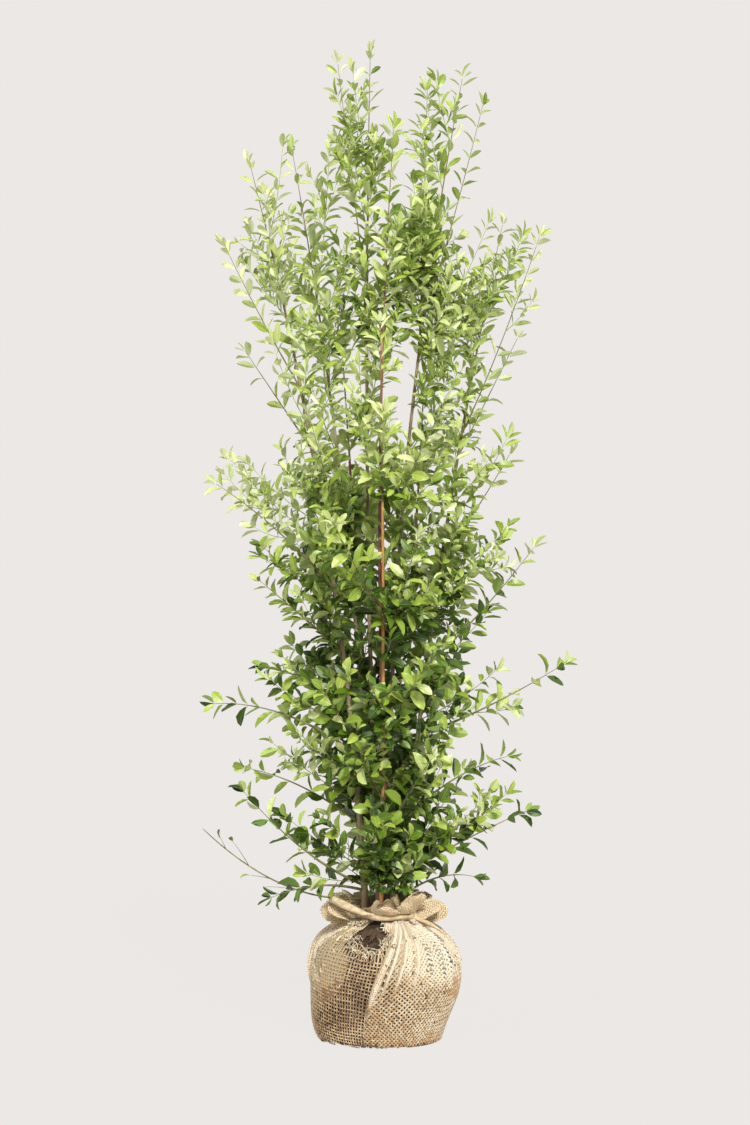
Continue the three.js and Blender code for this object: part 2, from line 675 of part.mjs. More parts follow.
masses.forEach((mass, number) => {
  plant.add(meshOf(`foliage_${String(number + 1).padStart(2, '0')}`, makeMass(mass, number), FOLIAGE));
});

export default plant;
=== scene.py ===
# The looks of a young hedging shrub that stands on a root ball wrapped in burlap, made round its packed
# solids. +Z is up and the front is towards -Y. Lengths are worked out in millimetres, as in the solids, and
# MM turns them into metres wherever a mesh is made.
import math
import random

import bpy
import numpy as np
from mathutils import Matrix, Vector, noise


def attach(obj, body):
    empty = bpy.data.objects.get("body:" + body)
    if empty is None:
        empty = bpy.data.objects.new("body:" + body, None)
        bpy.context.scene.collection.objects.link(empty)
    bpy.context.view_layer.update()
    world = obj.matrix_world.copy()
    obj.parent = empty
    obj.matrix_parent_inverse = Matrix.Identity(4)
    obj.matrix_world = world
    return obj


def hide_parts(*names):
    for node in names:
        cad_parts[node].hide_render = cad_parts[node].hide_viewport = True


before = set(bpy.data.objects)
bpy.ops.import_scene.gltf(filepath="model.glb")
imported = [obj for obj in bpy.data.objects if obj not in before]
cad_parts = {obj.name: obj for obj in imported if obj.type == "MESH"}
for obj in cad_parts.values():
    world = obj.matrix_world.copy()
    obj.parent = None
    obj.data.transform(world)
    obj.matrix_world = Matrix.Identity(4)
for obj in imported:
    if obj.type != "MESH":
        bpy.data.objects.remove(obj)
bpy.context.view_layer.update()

MM = 0.001
UP = np.array([0.0, 0.0, 1.0])
SIDE = np.array([1.0, 0.0, 0.0])
LEVEL = np.array([1.0, 1.0, 0.0])
FULL_TURN = 2 * math.pi
GOLDEN_TURN = 2.39996
TINY = 1e-9


def table_of(names, *values):
    """A table as a list of dicts that share their names."""
    keys = names.split()
    return [dict(zip(keys, row)) for row in values]


# The photograph's frame, and the camera that took it
PHOTO = {"width": 750, "height": 1125, "mm_per_pixel": 1.96, "axis_pixel": 385, "ground_pixel": 1037.8}
CAMERA_DISTANCE = 5000
SENSOR = 36

# The wrapped ball, as in the solids
UNDERSIDE_RADIUS = 118
WAIST_RADIUS = 149
WAIST_HEIGHT = 150
NECK_RADIUS = 50
NECK_HEIGHT = 236
SOIL_HEIGHT = 250
BELLY_POWER = 2.2
SHOULDER_POWER = 2.6
FOLD = {"depth": 11, "dies": 40, "growth": 1.3, "fade": 22, "waves": [(0.6, 7, 0.4), (0.4, 11, 2.1)]}
TEAR = {"azimuth": -104, "height": 200, "wide": 20, "tall": 17, "much": 9}
COLLAR_FOOT = {"clearance": 0.4, "height": 244.2}
COLLAR_THICKNESS = 3.4
COLLAR_EDGE = {"reach": 60, "height": 257}
COLLAR_CURVE = {"out": 1.5, "up": 1.7}
LOBES = table_of(
    "azimuth reach height half",
    (196, 118, 256, 26),
    (160, 112, 284, 24),
    (118, 88, 282, 24),
    (76, 84, 286, 24),
    (34, 96, 282, 24),
    (-5, 121, 259, 24),
    (-44, 90, 289, 22),
    (-88, 74, 279, 20),
)
TIE = {"reach": 54.4, "height": 240.1, "radius": 3.9}
KNOT = {"azimuth": -28, "reach": 63, "height": 242, "half": 5}
CORNER = {"radius": 9, "taper": 0.3, "flatness": 0.4,
          "route": [(-28, 66, 240), (-24, 98, 228), (-18, 126, 208)]}

# The limbs, as in the solids: foot, tip of the last leaf, sideways bow, radius and the share that is bare
STEMS = table_of(
    "foot tip bow radius bare",
    ((-38, -8), (-265, -30, 1735), (72, 0), 6.4, 0.74),
    ((-8, -26), (-10, -175, 1410), (10, 20), 4.2, 0.72),
    ((-24, 18), (-185, 60, 1775), (53, 0), 4.6, 0.76),
    ((-12, 2), (-30, 10, 1955), (-27, 0), 5.2, 0.76),
    ((14, -14), (15, -90, 1795), (-50, -10), 4.4, 0.76),
    ((30, 6), (235, 60, 1625), (-42, 0), 5.2, 0.74),
    ((10, 12), (150, -30, 1900), (-84, 20), 5.0, 0.75),
    ((-10, 36), (-100, 185, 1565), (0, 10), 4.6, 0.7),
    ((20, 36), (90, 215, 1465), (0, 0), 4.6, 0.68),
)
# The shoots that leave a stem: stem, height, tip of the last leaf, sag and the share that is bare bough
SHOOTS = [
    (0, 560, (-360, -60, 680), -22, 0.36),
    (0, 650, (-265, 40, 745), -10, 0),
    (0, 420, (-305, 70, 545), -14, 0),
    (0, 300, (-300, -30, 495), 18, 0.45),
    (0, 276, (-350, -100, 420), 42, 1),
    (0, 290, (-245, -130, 300), -12, 0.4),
    (0, 760, (-265, -60, 915), 0, 0),
    (0, 880, (-350, -80, 1110), -12, 0),
    (0, 1150, (-290, 60, 1370), 0, 0),
    (0, 1270, (-320, -70, 1560), 6, 0),
    (3, 1460, (-95, -30, 1925), 10, 0),
    (6, 1345, (85, 60, 1890), 14, 0),
    (6, 1400, (195, -70, 1835), 12, 0),
    (5, 1185, (310, -30, 1585), 14, 0),
    (5, 1140, (275, 90, 1400), 0, 0),
    (5, 940, (260, -30, 1165), 6, 0),
    (5, 730, (315, 30, 980), 10, 0.3),
    (5, 590, (375, -50, 745), 8, 0.36),
    (5, 440, (270, 70, 570), -12, 0),
    (5, 320, (300, -50, 465), -4, 0),
    (5, 276, (205, 40, 335), -12, 0),
    (1, 330, (-30, -250, 500), -10, 0),
    (1, 600, (120, -280, 800), -6, 0),
    (1, 820, (-110, -310, 1030), 0, 0),
    (4, 980, (125, -250, 1260), 0, 0),
    (4, 400, (110, -190, 600), -8, 0),
    (1, 470, (-130, -210, 720), -8, 0),
    (4, 720, (70, -180, 1010), 0, 0),
    (2, 930, (-150, -150, 1230), 0, 0),
    (8, 340, (60, 270, 500), -10, 0),
    (7, 560, (-130, 310, 760), -6, 0),
    (8, 720, (150, 320, 950), -4, 0),
    (7, 960, (-110, 340, 1210), 0, 0),
]
CLEARANCE = 0.3
TIP_RADIUS = 1.5
SHOOT_FOOT = {"share": 0.62, "largest": 2.9}
FLARE = {"share": 0.35, "length": 26}
TAPER = {"stem": 0.9, "shoot": 0.8}
SOLID_LEAF = {"length": 104, "last": 0.6, "sink": 3}
HIGH = {"above": 1300, "scale": 0.87}
# How the finer growth is made. A tone runs from 0 for the darkest leaves inside to 1 for lime tips; the dark
# tones inside the crown and low down are partly older leaves and partly painted shade.
SEED = 4021
SEEDS = {"shoots": 100, "foot": 400, "boughs": 19, "lining": 3, "fray": 9}
PATH_SAMPLES = {"length": 24, "height": 2000}
LEAF = {"length": 46.5, "width": 0.445, "petiole": 3.5, "thickness": 0.5, "angle": 0.98, "stray": 0.4,
        "tones": 0.13, "most": 0.28}
FACE = {"along": 0.5, "up": 0.45, "out": 0.45, "near": 60, "least": 0.05}
STRAY = {"shortest": 0.68, "longest": 1.12, "skew": 0.7, "width": (0.88, 1.18), "flat": 0.1, "bent": 0.75,
         "curled": 0.4, "often": 0.3, "fold": (0.2, 0.62), "twist": (-0.45, 0.45)}
PAIR = {"missing": 0.05, "stray": 0.16, "angle": (0.72, 1.15), "size": (0.9, 1.06)}
END_LEAVES = [(0, 0.55, 0.72), (math.pi, 0.6, 0.66), (math.pi / 2, 0.12, 0.78)]  # turn, angle and size
END_TONE = 0.05
SHOOT = {"spacing": 27, "fewest": 4, "tones": 0.06, "first": 0.6, "uneven": 0.2, "after": 0.3,
         "largest": 1.08, "smallest": 0.74, "shrink": 1.5, "missing": (0.2, 0.02), "foot": 0.03,
         "bare_top": 150, "stray": 0.3, "end": 0.85, "tip": 0.5}
TWIG = {"shortest": 42, "longest": 170, "share": 0.5, "uneven": (0.4, 1), "radius": 1.25, "slimmest": 0.55,
        "tip": 0.45, "spread": 0.8, "spreads": (0.75, 1.2), "lift": 0.34, "aside": 0.05, "bend": 0.35,
        "bends": (0.2, 1), "probe": 0.6, "spacing": 22, "first": 0.85, "after": 0.55, "largest": 1.04,
        "smallest": 0.72, "size": 0.95, "lighter": 0.08, "end": 0.9, "end_tone": 0.06}
FINER = {"above": 95, "from": 0.28, "to": 0.75, "spacing": 26, "missing": 0.4, "lift": 0.15,
         "reach": (32, 62), "size": 0.85}
SPRAY = {"spacing": 35, "lowest": 285, "steps": 12, "uneven": 0.6, "turn": 1.7, "turns": 0.8, "share": 0.85,
         "outwards": 120, "spread": 0.85, "spreads": (0.8, 1.2), "lift": 0.05, "high_lift": 0.4,
         "reach": (80, 230), "within": 0.97, "shorter": 0.85, "tries": 8, "least": 45, "probe": 0.6,
         "tones": 0.1, "size": (0.95, 1.12)}
FRONT = {"beyond": -0.45, "from": 380, "to": 1160, "share": 0.8}  # sprays left out in front of the stems
LEADER = {"size": 0.94, "twigs": 0.75}
SIDE_SHOOT = {"size": 1.0, "high_size": 0.93, "twigs": 0.3, "upright_twigs": 0.4}
BARE_TWIGS = {"places": [(0.42, 66), (0.58, 42), (0.72, 74), (0.86, 30)], "turn": 0.6, "spread": 0.6,
              "bend": 0.06, "radius": 0.8, "tip": 0.35, "leafy": 0.5, "leaf": 0.4, "tone": 0.4}
REACH_ON = 26  # how much nearer to a solid's tip the last small leaves start
CROWN = [(262, 100), (330, 165), (430, 205), (600, 230), (700, 250), (800, 240), (900, 250), (1000, 265),
         (1110, 290), (1200, 250), (1300, 235), (1400, 270), (1550, 290), (1650, 250), (1750, 180),
         (1900, 90), (1965, 20)]
FULLNESS = [(260, 0.3), (300, 0.5), (340, 0.8), (420, 0.62), (500, 0.6), (560, 0.62), (640, 0.95),
            (760, 0.75), (860, 1.1), (950, 1.15), (1000, 0.85), (1080, 0.75), (1130, 0.42), (1200, 0.2),
            (1290, 0.15), (1330, 0.55), (1400, 1.0), (1540, 0.85), (1600, 0.3), (1680, 0.15), (1800, 0.3)]
# Leaf tones by height. The low middle tones, the darkening inside the crown and the darker tips low down are
# painted shade on top of the leaves' own age; the lighter tips higher up are young growth.
TONES = {
    "heights": [260, 350, 450, 700, 900, 1100, 1350, 1700, 1950],
    "middle": [0.06, 0.33, 0.43, 0.36, 0.46, 0.63, 0.66, 0.61, 0.56],
    "inner_age_and_shade": [0.42, 0.55, 0.6, 0.72, 0.62, 0.42, 0.2, 0.1, 0.08],
    "tip_youth_and_shade": [-0.14, -0.16, -0.16, -0.12, 0.0, 0.1, 0.12, 0.1, 0.08],
    "outermost": [0.64, 0.64, 0.66, 0.74, 0.9, 1.1, 1.2, 1.2, 1.2],
}
TONE_RADIUS = 0.6  # the share of the crown's radius where a leaf has the middle tone
LOWER = {"below": 650, "ends": 850, "width": 1.2, "stray": 0.65, "tones": 0.2, "most": 0.45}
UPPER = {"from": 1000, "to": 1300, "width": 0.86, "lift": 1.0, "angle": 0.85}

# Where no leaf grows: over the collar, and in front of the stems whose feet show
LEAF_FREE = table_of("below within beyond before", (292, 110, 0, UNDERSIDE_RADIUS), (300, 134, 110, -10))
BARE_FOOT = {"from": -80, "to": -34, "below": 440, "before": 10}

# Twigs beyond the rule that fill the crown where the photograph shows it full: stem, height on it and the tip
FILLING = [
    (0, 1560, -200, -20, 1740), (2, 1500, -150, -30, 1760), (2, 1450, -110, 10, 1730),
    (3, 1540, -100, 20, 1760), (3, 1580, -70, -40, 1800), (3, 1500, 0, -60, 1745),
    (5, 1380, 225, -50, 1590), (6, 1320, 200, -40, 1590), (6, 1230, 170, -70, 1465),
    (5, 1220, 185, -60, 1470), (3, 1130, -50, -60, 1310), (3, 1220, 0, -70, 1390),
    (1, 1060, -60, -150, 1250), (1, 1170, -45, -170, 1345), (3, 1080, 40, -40, 1250),
    (0, 950, -180, -40, 1130), (0, 1000, -200, 30, 1150), (0, 460, -215, -60, 580),
    (0, 500, -185, 50, 615), (0, 520, -170, -90, 600), (5, 330, 235, -60, 450), (5, 345, 250, 20, 425),
    (2, 270, -110, -40, 350), (1, 285, -60, -75, 360), (1, 280, 5, -80, 345), (4, 282, 60, -60, 350),
    (4, 280, 95, -40, 350), (1, 310, -20, -115, 395), (4, 315, 45, -110, 400), (6, 285, 115, -10, 345),
    (1, 300, -90, -50, 375), (7, 290, -70, 100, 360), (8, 290, 60, 100, 350), (2, 290, -110, 70, 350),
    (3, 290, -30, -30, 380), (6, 295, 30, -20, 380), (3, 300, 10, 40, 380), (3, 1700, -62, -20, 1885),
    (3, 1660, -15, -30, 1850), (6, 1620, 115, -40, 1800), (6, 1700, 120, -10, 1860),
    (6, 1660, 80, -20, 1850), (6, 1580, 70, -40, 1770), (3, 1340, -60, -40, 1470),
    (2, 1280, -30, -70, 1420), (4, 1330, 90, -60, 1450), (6, 1260, 130, -40, 1400),
    (6, 1330, 120, -60, 1480), (2, 1140, -150, -60, 1300), (2, 1180, -120, -40, 1340),
    (5, 1020, 270, -20, 1180), (5, 1040, 200, -80, 1130), (0, 960, -300, -40, 1130),
    (0, 990, -240, -70, 1160), (0, 1010, -280, 20, 1180), (5, 820, 190, -60, 950),
    (5, 850, 225, -20, 975), (5, 1180, 150, -30, 1330), (5, 1230, 165, -60, 1390),
    (6, 1240, 140, -20, 1380), (5, 1280, 170, -20, 1440), (5, 1330, 190, -50, 1480),
    (5, 1010, 235, -60, 1170), (5, 1060, 210, -20, 1200), (2, 1220, -130, -40, 1380),
    (2, 1270, -110, -60, 1430), (0, 1240, -150, -50, 1400), (2, 1310, -135, -20, 1470),
    (5, 640, 250, -60, 760), (5, 390, 190, -70, 480), (5, 410, 225, -20, 500), (5, 330, 180, -50, 445),
    (5, 300, 160, -20, 430), (0, 740, -132, -50, 865), (2, 740, -120, -20, 850), (0, 300, -132, -50, 392),
    (2, 300, -120, -10, 380), (6, 1780, 112, -30, 1890), (6, 1750, 100, -10, 1870),
    (3, 1350, -12, -60, 1480), (3, 1390, -5, -30, 1490), (5, 1090, 200, -40, 1215),
    (0, 1030, -132, -50, 1160), (5, 350, 232, -50, 480), (5, 1400, 262, -20, 1540),
    (6, 1110, 112, -50, 1245), (0, 300, -176, -50, 350), (2, 1590, -100, -20, 1748),
    (0, 1050, -278, -30, 1185), (5, 1040, 140, -50, 1185), (4, 440, 112, -80, 570),
    (3, 1570, -14, -40, 1712), (0, 310, -150, -60, 330), (4, 500, 84, -80, 625),
    (3, 1200, -42, -60, 1330), (5, 600, 292, -40, 738), (5, 340, 200, -30, 480), (5, 330, 190, 20, 465),
    (3, 1590, -20, -20, 1745), (5, 1420, 268, 10, 1570), (5, 620, 285, -20, 735),
    (0, 1060, -285, 0, 1190), (0, 950, -310, -40, 1100), (0, 740, -165, -40, 865),
    (5, 370, 262, -30, 510), (4, 400, 112, -80, 545), (6, 1120, 140, -40, 1245), (5, 560, 142, -50, 690),
    (5, 310, 140, -60, 440), (4, 1320, 30, -50, 1455), (6, 1140, 115, -40, 1275),
    (2, 1400, -72, -30, 1545), (3, 1600, -5, -50, 1720), (3, 1640, 16, -20, 1775),
    (5, 560, 170, -60, 690), (5, 600, 188, -30, 668), (0, 1000, -262, -40, 1120),
    (5, 880, 138, -60, 1015), (2, 1330, -70, -50, 1465), (5, 1390, 232, -40, 1520),
    (4, 850, 82, -90, 965), (2, 1540, -96, -20, 1668), (1, 320, -66, -110, 430),
    (5, 1400, 262, -10, 1555), (6, 1640, 132, -30, 1790), (0, 640, -196, -40, 745),
    (2, 330, -112, -70, 442), (0, 1200, -216, -40, 1350), (4, 880, 112, -80, 1030),
    (5, 600, 300, -30, 722), (3, 1350, -40, -60, 1500), (3, 1690, -92, -20, 1840),
    (2, 1090, -125, -60, 1235), (0, 1020, -160, -40, 1145),
]
FILLING_TONES = 0.05

# Short twigs low round the stems' feet, whose leaves are given a dark tone as painted shade: stem, height on
# it and the tip
FOOT_SPRAYS = [
    (1, 345, -36, -84, 306), (4, 346, 26, -88, 306), (3, 348, -8, -92, 308), (2, 346, -58, -52, 310),
    (6, 346, 46, -46, 310), (3, 340, -24, -60, 302), (4, 340, 12, -66, 302), (1, 360, -20, -86, 326),
    (4, 360, 38, -74, 326), (2, 356, -50, -50, 326), (3, 360, 6, -70, 330), (7, 346, -34, 84, 308),
    (8, 346, 34, 86, 308), (7, 350, -62, 40, 310), (8, 350, 60, 44, 312), (7, 352, -6, 88, 312),
]
# The foot leaves are small, and their dark tone is painted shade.
FOOT_LEAF_IN_PAINTED_SHADE = {"size": 0.6, "tone": 0.14}

# Round gaps, seen from the front, where growth is left out: middle across and up, half sizes and the share
# left out
THIN = [
    (95, 1800, 60, 70, 0.35), (-12, 1803, 46, 44, 0.65), (122, 1690, 44, 48, 0.66),
    (150, 1640, 90, 60, 0.7), (116, 1630, 52, 46, 0.97), (165, 1530, 70, 50, 0.8),
    (252, 1446, 44, 44, 0.72), (238, 1330, 50, 108, 0.88), (192, 1285, 64, 70, 0.97),
    (218, 1165, 50, 60, 0.75), (192, 1028, 60, 60, 0.94), (222, 860, 75, 70, 0.72),
    (162, 760, 60, 50, 0.68), (220, 765, 50, 50, 0.6), (225, 660, 50, 44, 0.94), (138, 592, 48, 50, 0.92),
    (138, 482, 44, 48, 0.68), (225, 398, 45, 40, 0.7), (158, 368, 62, 54, 0.94), (80, 425, 40, 40, 0.68),
    (78, 300, 32, 32, 0.55), (-48, 1628, 85, 52, 0.76), (-76, 1295, 54, 66, 0.9),
    (20, 1245, 54, 58, 0.93), (49, 1190, 50, 40, 0.6), (10, 1150, 110, 36, 0.3),
    (-69, 1104, 40, 40, 0.66), (-155, 1180, 62, 58, 0.76), (-212, 1185, 48, 105, 0.84),
    (-225, 1310, 34, 60, 0.6), (-180, 1410, 60, 45, 0.5), (-132, 1552, 46, 42, 0.8),
    (-150, 1680, 60, 36, 0.4), (-245, 1574, 40, 40, 0.45), (-172, 1012, 60, 50, 0.97),
    (-274, 1015, 40, 40, 0.4), (-135, 755, 44, 46, 0.3), (-172, 605, 58, 46, 0.6),
    (-165, 450, 50, 70, 0.5), (-172, 384, 58, 40, 0.6), (-54, 322, 24, 38, 0.9), (-180, 830, 50, 40, 0.6),
    (-120, 340, 34, 30, 0.6), (245, 1370, 40, 50, 0.6), (20, 1630, 40, 40, 0.4),
]
THIN_PAIRS = 0.3  # how much of that share also goes for the pairs of leaves on the shoots


def mix(a, b, share):
    return a + (b - a) * share


def unit(vector):
    return vector / np.linalg.norm(vector, axis=-1, keepdims=True)


def ease(value, low, high):
    """Runs smoothly from 0 at low to 1 at high."""
    share = np.clip((value - low) / (high - low), 0, 1)
    return share * share * (3 - 2 * share)


def bump(value, half):
    """A round hump, 1 at 0."""
    return np.exp(-((value / half) ** 2))


def wrapped(angle):
    """An angle brought between minus and plus half a turn."""
    return (angle + math.pi) % FULL_TURN - math.pi


def round_point(azimuth, reach, height):
    angle = math.radians(azimuth)
    return np.array([reach * math.cos(angle), reach * math.sin(angle), height])


def noise_at(points, size, seed=0.0):
    """Smooth noise between about -1 and 1, with features of the given size in millimetres."""
    flat = np.asarray(points, float).reshape(-1, 3) / size + seed
    values = np.array([noise.noise(Vector(p)) for p in flat])
    return values.reshape(np.shape(points)[:-1]) * 1.6


# Colours and materials


def colour(red, green, blue):
    """A display colour of 0 to 255 as the linear colour that a shader takes."""
    parts = [part / 255 for part in (red, green, blue)]
    linear = [part / 12.92 if part <= 0.04045 else ((part + 0.055) / 1.055) ** 2.4 for part in parts]
    return (*linear, 1.0)


def plain_material(name, rgb, roughness, **inputs):
    material = bpy.data.materials.new(name)
    material.use_nodes = True
    shader = material.node_tree.nodes["Principled BSDF"]
    shader.inputs["Base Color"].default_value = colour(*rgb)
    shader.inputs["Roughness"].default_value = roughness
    for socket, value in inputs.items():
        shader.inputs[socket.replace("_", " ")].default_value = value
    return material


def noise_node(nodes, links, scale, detail=4.0, stretch=None):
    """A noise texture on the object's own coordinates, stretched along an axis if asked."""
    place = nodes.new("ShaderNodeTexCoord")
    texture = nodes.new("ShaderNodeTexNoise")
    texture.inputs["Scale"].default_value = scale
    texture.inputs["Detail"].default_value = detail
    source = place.outputs["Object"]
    if stretch:
        mapping = nodes.new("ShaderNodeMapping")
        mapping.inputs["Scale"].default_value = stretch
        links.new(source, mapping.inputs["Vector"])
        source = mapping.outputs["Vector"]
    links.new(source, texture.inputs["Vector"])
    return texture


def mottled_material(name, tones, scale, roughness, relief=0.0, relief_scale=300.0, stretch=None):
    """A material whose colour wanders through the tones, given as (place, rgb), with a fine relief."""
    material = plain_material(name, tones[0][1], roughness)
    nodes = material.node_tree.nodes
    links = material.node_tree.links
    shader = nodes["Principled BSDF"]
    ramp = nodes.new("ShaderNodeValToRGB")
    while len(ramp.color_ramp.elements) < len(tones):
        ramp.color_ramp.elements.new(1.0)
    for element, (place, rgb) in zip(ramp.color_ramp.elements, tones):
        element.position = place
        element.color = colour(*rgb)
    texture = noise_node(nodes, links, scale, stretch=stretch)
    links.new(texture.outputs["Fac"], ramp.inputs["Fac"])
    links.new(ramp.outputs["Color"], shader.inputs["Base Color"])
    if relief:
        grain = noise_node(nodes, links, relief_scale, stretch=stretch)
        height = nodes.new("ShaderNodeBump")
        height.inputs["Strength"].default_value = relief
        height.inputs["Distance"].default_value = MM
        links.new(grain.outputs["Fac"], height.inputs["Height"])
        links.new(height.outputs["Normal"], shader.inputs["Normal"])
    return material


# Meshes


def add_mesh(name, points, parts, materials, sharp=False):
    """Makes an object from points in millimetres. Each part is (corners of shape (faces, sides), material
    numbers). With sharp, edges between two materials stay sharp."""
    mesh = bpy.data.meshes.new(name)
    points = np.asarray(points, float).reshape(-1, 3)
    mesh.vertices.add(len(points))
    mesh.vertices.foreach_set("co", (points * MM).astype(np.float32).ravel())
    parts = [(np.asarray(corners), numbers) for corners, numbers in parts if len(corners)]
    corners = np.concatenate([part.ravel() for part, _ in parts]).astype(np.int32)
    sides = np.concatenate([np.full(len(part), part.shape[1]) for part, _ in parts])
    numbers = np.concatenate([np.broadcast_to(number, len(part)) for part, number in parts])
    starts = np.concatenate([[0], np.cumsum(sides)[:-1]])
    mesh.loops.add(len(corners))
    mesh.loops.foreach_set("vertex_index", corners)
    mesh.polygons.add(len(sides))
    mesh.polygons.foreach_set("loop_start", starts.astype(np.int32))
    mesh.polygons.foreach_set("material_index", numbers.astype(np.int32))
    for material in materials:
        mesh.materials.append(material)
    mesh.update(calc_edges=True)
    mesh.shade_smooth()
    if sharp:
        mark_material_edges(mesh, numbers, sides)
    piece = bpy.data.objects.new(name, mesh)
    bpy.context.scene.collection.objects.link(piece)
    return piece


def mark_material_edges(mesh, numbers, sides):
    edge_of_corner = np.empty(len(mesh.loops), np.int32)
    mesh.loops.foreach_get("edge_index", edge_of_corner)
    number_of_corner = np.repeat(numbers, sides)
    lowest = np.full(len(mesh.edges), len(mesh.materials))
    highest = np.full(len(mesh.edges), -1)
    np.minimum.at(lowest, edge_of_corner, number_of_corner)
    np.maximum.at(highest, edge_of_corner, number_of_corner)
    attribute = mesh.attributes.new("sharp_edge", "BOOLEAN", "EDGE")
    attribute.data.foreach_set("value", lowest != highest)


class Build:
    """Collects points and faces for one joined mesh."""

    def __init__(self):
        self.points = []
        self.parts = []
        self.count = 0

    def add(self, points, parts):
        """parts are (corners, material numbers), with corners counted from the first of these points."""
        points = np.asarray(points, float).reshape(-1, 3)
        for corners, numbers in parts:
            self.parts.append((np.asarray(corners) + self.count, numbers))
        self.points.append(points)
        self.count += len(points)

    def piece(self, name, materials, sharp=False):
        grouped = {}
        for corners, numbers in self.parts:
            full = np.broadcast_to(numbers, len(corners))
            grouped.setdefault(corners.shape[1], []).append((corners, full))
        parts = []
        for group in grouped.values():
            corners = np.concatenate([part for part, _ in group])
            numbers = np.concatenate([number for _, number in group])
            parts.append((corners, numbers))
        return add_mesh(name, np.concatenate(self.points), parts, materials, sharp)


def frames_along(centres, reference):
    """Two directions square to a line of points, carried along it."""
    along = unit(np.gradient(centres, axis=0))
    across = unit(reference - along * (along @ reference)[:, None])
    return across, np.cross(along, across)


def tube(build, centres, section, number=0, reference=None, capped=(True, True)):
    """A tube whose section at row i is section[i], as rows of (across, side) offsets in millimetres."""
    rows, sides = section.shape[:2]
    if reference is None:
        chord = unit(centres[-1] - centres[0])
        reference = SIDE if abs(chord[2]) > 0.75 else UP
    across, side = frames_along(centres, reference)
    ring = section[..., :1] * across[:, None] + section[..., 1:] * side[:, None]
    points = [(centres[:, None] + ring).reshape(-1, 3)]
    k = np.arange(sides)
    first = np.arange(rows - 1)[:, None] * sides
    following = (k + 1) % sides
    quads = np.stack([first + k, first + following, first + sides + following, first + sides + k], -1)
    parts = [(quads.reshape(-1, 4), number)]
    extra = rows * sides
    for end, wanted in zip((0, rows - 1), capped):
        if not wanted:
            continue
        points.append(centres[end][None])
        ends = np.stack([np.full(sides, extra), end * sides + following, end * sides + k], -1)
        parts.append((ends if end == 0 else ends[:, ::-1], number))
        extra += 1
    build.add(np.concatenate(points), parts)


def round_section(radii, sides):
    angle = np.arange(sides) * FULL_TURN / sides
    ring = np.stack([np.cos(angle), np.sin(angle)], -1)
    return np.asarray(radii)[:, None, None] * ring


def dressed(piece, slot, *nodes):
    """The piece rides on the plant and stands for the nodes, whose solids are hidden. The slot is not used.
    """
    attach(piece, "root")
    if nodes:
        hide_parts(*nodes)
    return piece


# Paths of the limbs, as in the solids


def bowed_path(start, end, offset):
    return np.array([start, (start + end) / 2 + offset, end])


def point_at(path, share):
    t = np.asarray(share, float)[..., None]
    return (1 - t) ** 2 * path[0] + 2 * t * (1 - t) * path[1] + t**2 * path[2]


def tangent_at(path, share):
    t = np.asarray(share, float)[..., None]
    return unit((1 - t) * (path[1] - path[0]) + t * (path[2] - path[1]))


def length_of(path, start=0.0, end=1.0):
    points = point_at(path, np.linspace(start, end, PATH_SAMPLES["length"]))
    return np.linalg.norm(np.diff(points, axis=0), axis=1).sum()


def end_before(tip, start):
    """Where a limb ends in the solids, so that its last leaf there reaches the tip."""
    scale = HIGH["scale"] if tip[2] > HIGH["above"] else 1
    reach = SOLID_LEAF["length"] * SOLID_LEAF["last"] * scale - SOLID_LEAF["sink"]
    return np.array(tip) + unit(start - np.array(tip)) * reach


def stem_radius(stem, share):
    rise = share * (stem["tip"][2] - SOIL_HEIGHT)
    taper = mix(TIP_RADIUS, stem["radius"], (1 - share) ** TAPER["stem"])
    return taper * (1 + FLARE["share"] * np.exp(-rise / FLARE["length"]))


def share_at_height(path, height):
    shares = np.linspace(0, 1, PATH_SAMPLES["height"])
    return float(np.interp(height, point_at(path, shares)[:, 2], shares))


def make_stem_paths():
    for stem in STEMS:
        start = np.array([*stem["foot"], SOIL_HEIGHT + CLEARANCE])
        stem["path"] = bowed_path(start, end_before(stem["tip"], start), np.array([*stem["bow"], 0]))


def make_shoot(stem_number, leaves, tip, sag, bare):
    stem = STEMS[stem_number]
    at = share_at_height(stem["path"], leaves)
    origin = point_at(stem["path"], at)
    end = end_before(tip, origin) if bare < 1 else np.array(tip, float)
    foot = min(SHOOT_FOOT["largest"], SHOOT_FOOT["share"] * stem_radius(stem, at))
    return {"path": bowed_path(origin, end, np.array([0, 0, -2 * sag])), "foot": foot, "bare": bare,
            "away": stem_radius(stem, at)}


def shoot_radius(shoot, share):
    return mix(TIP_RADIUS * TAPER["shoot"], shoot["foot"], (1 - share) ** TAPER["shoot"])


# Foliage: leaves and twigs are collected by kind, and each kind becomes one joined mesh

# The kinds of twig, by number, and their meshes
BARK, BROWN, GREEN = 0, 1, 2
TWIG_KINDS = table_of(
    "piece material rgb roughness",
    ("leaders", "twig_bark", (128, 104, 74), 0.7),
    ("twigs_brown", "twig_brown", (122, 118, 70), 0.65),
    ("twigs_green", "twig_green", (150, 172, 84), 0.55),
)
TWIG_MESH = {"sides": 5, "step": 16, "fewest": 4, "most": 24, "taper": 0.8}

leaf_rows = []
twig_rows = []


def read_off(table, place):
    """The value at a place in a table of (place, value) pairs, with straight lines between them."""
    return np.interp(place, *zip(*table))


def chance_at(place):
    """A run of chance of the place's own, so that a change elsewhere leaves it as it is."""
    return random.Random(round(7 * place[0] + 11 * place[1] + 13 * place[2]))


def thinned(place, much=1.0):
    """Whether growth that reaches this place is left out, for the gaps that show sky."""
    chance = chance_at(place)
    for x, z, wide, tall, share in THIN:
        near = ((place[0] - x) / wide) ** 2 + ((place[2] - z) / tall) ** 2
        if near < 1 and chance.random() < much * share:
            return True
    return False


def square_to(tangent):
    return unit(np.cross(tangent, SIDE if abs(tangent[2]) > 0.9 else UP))


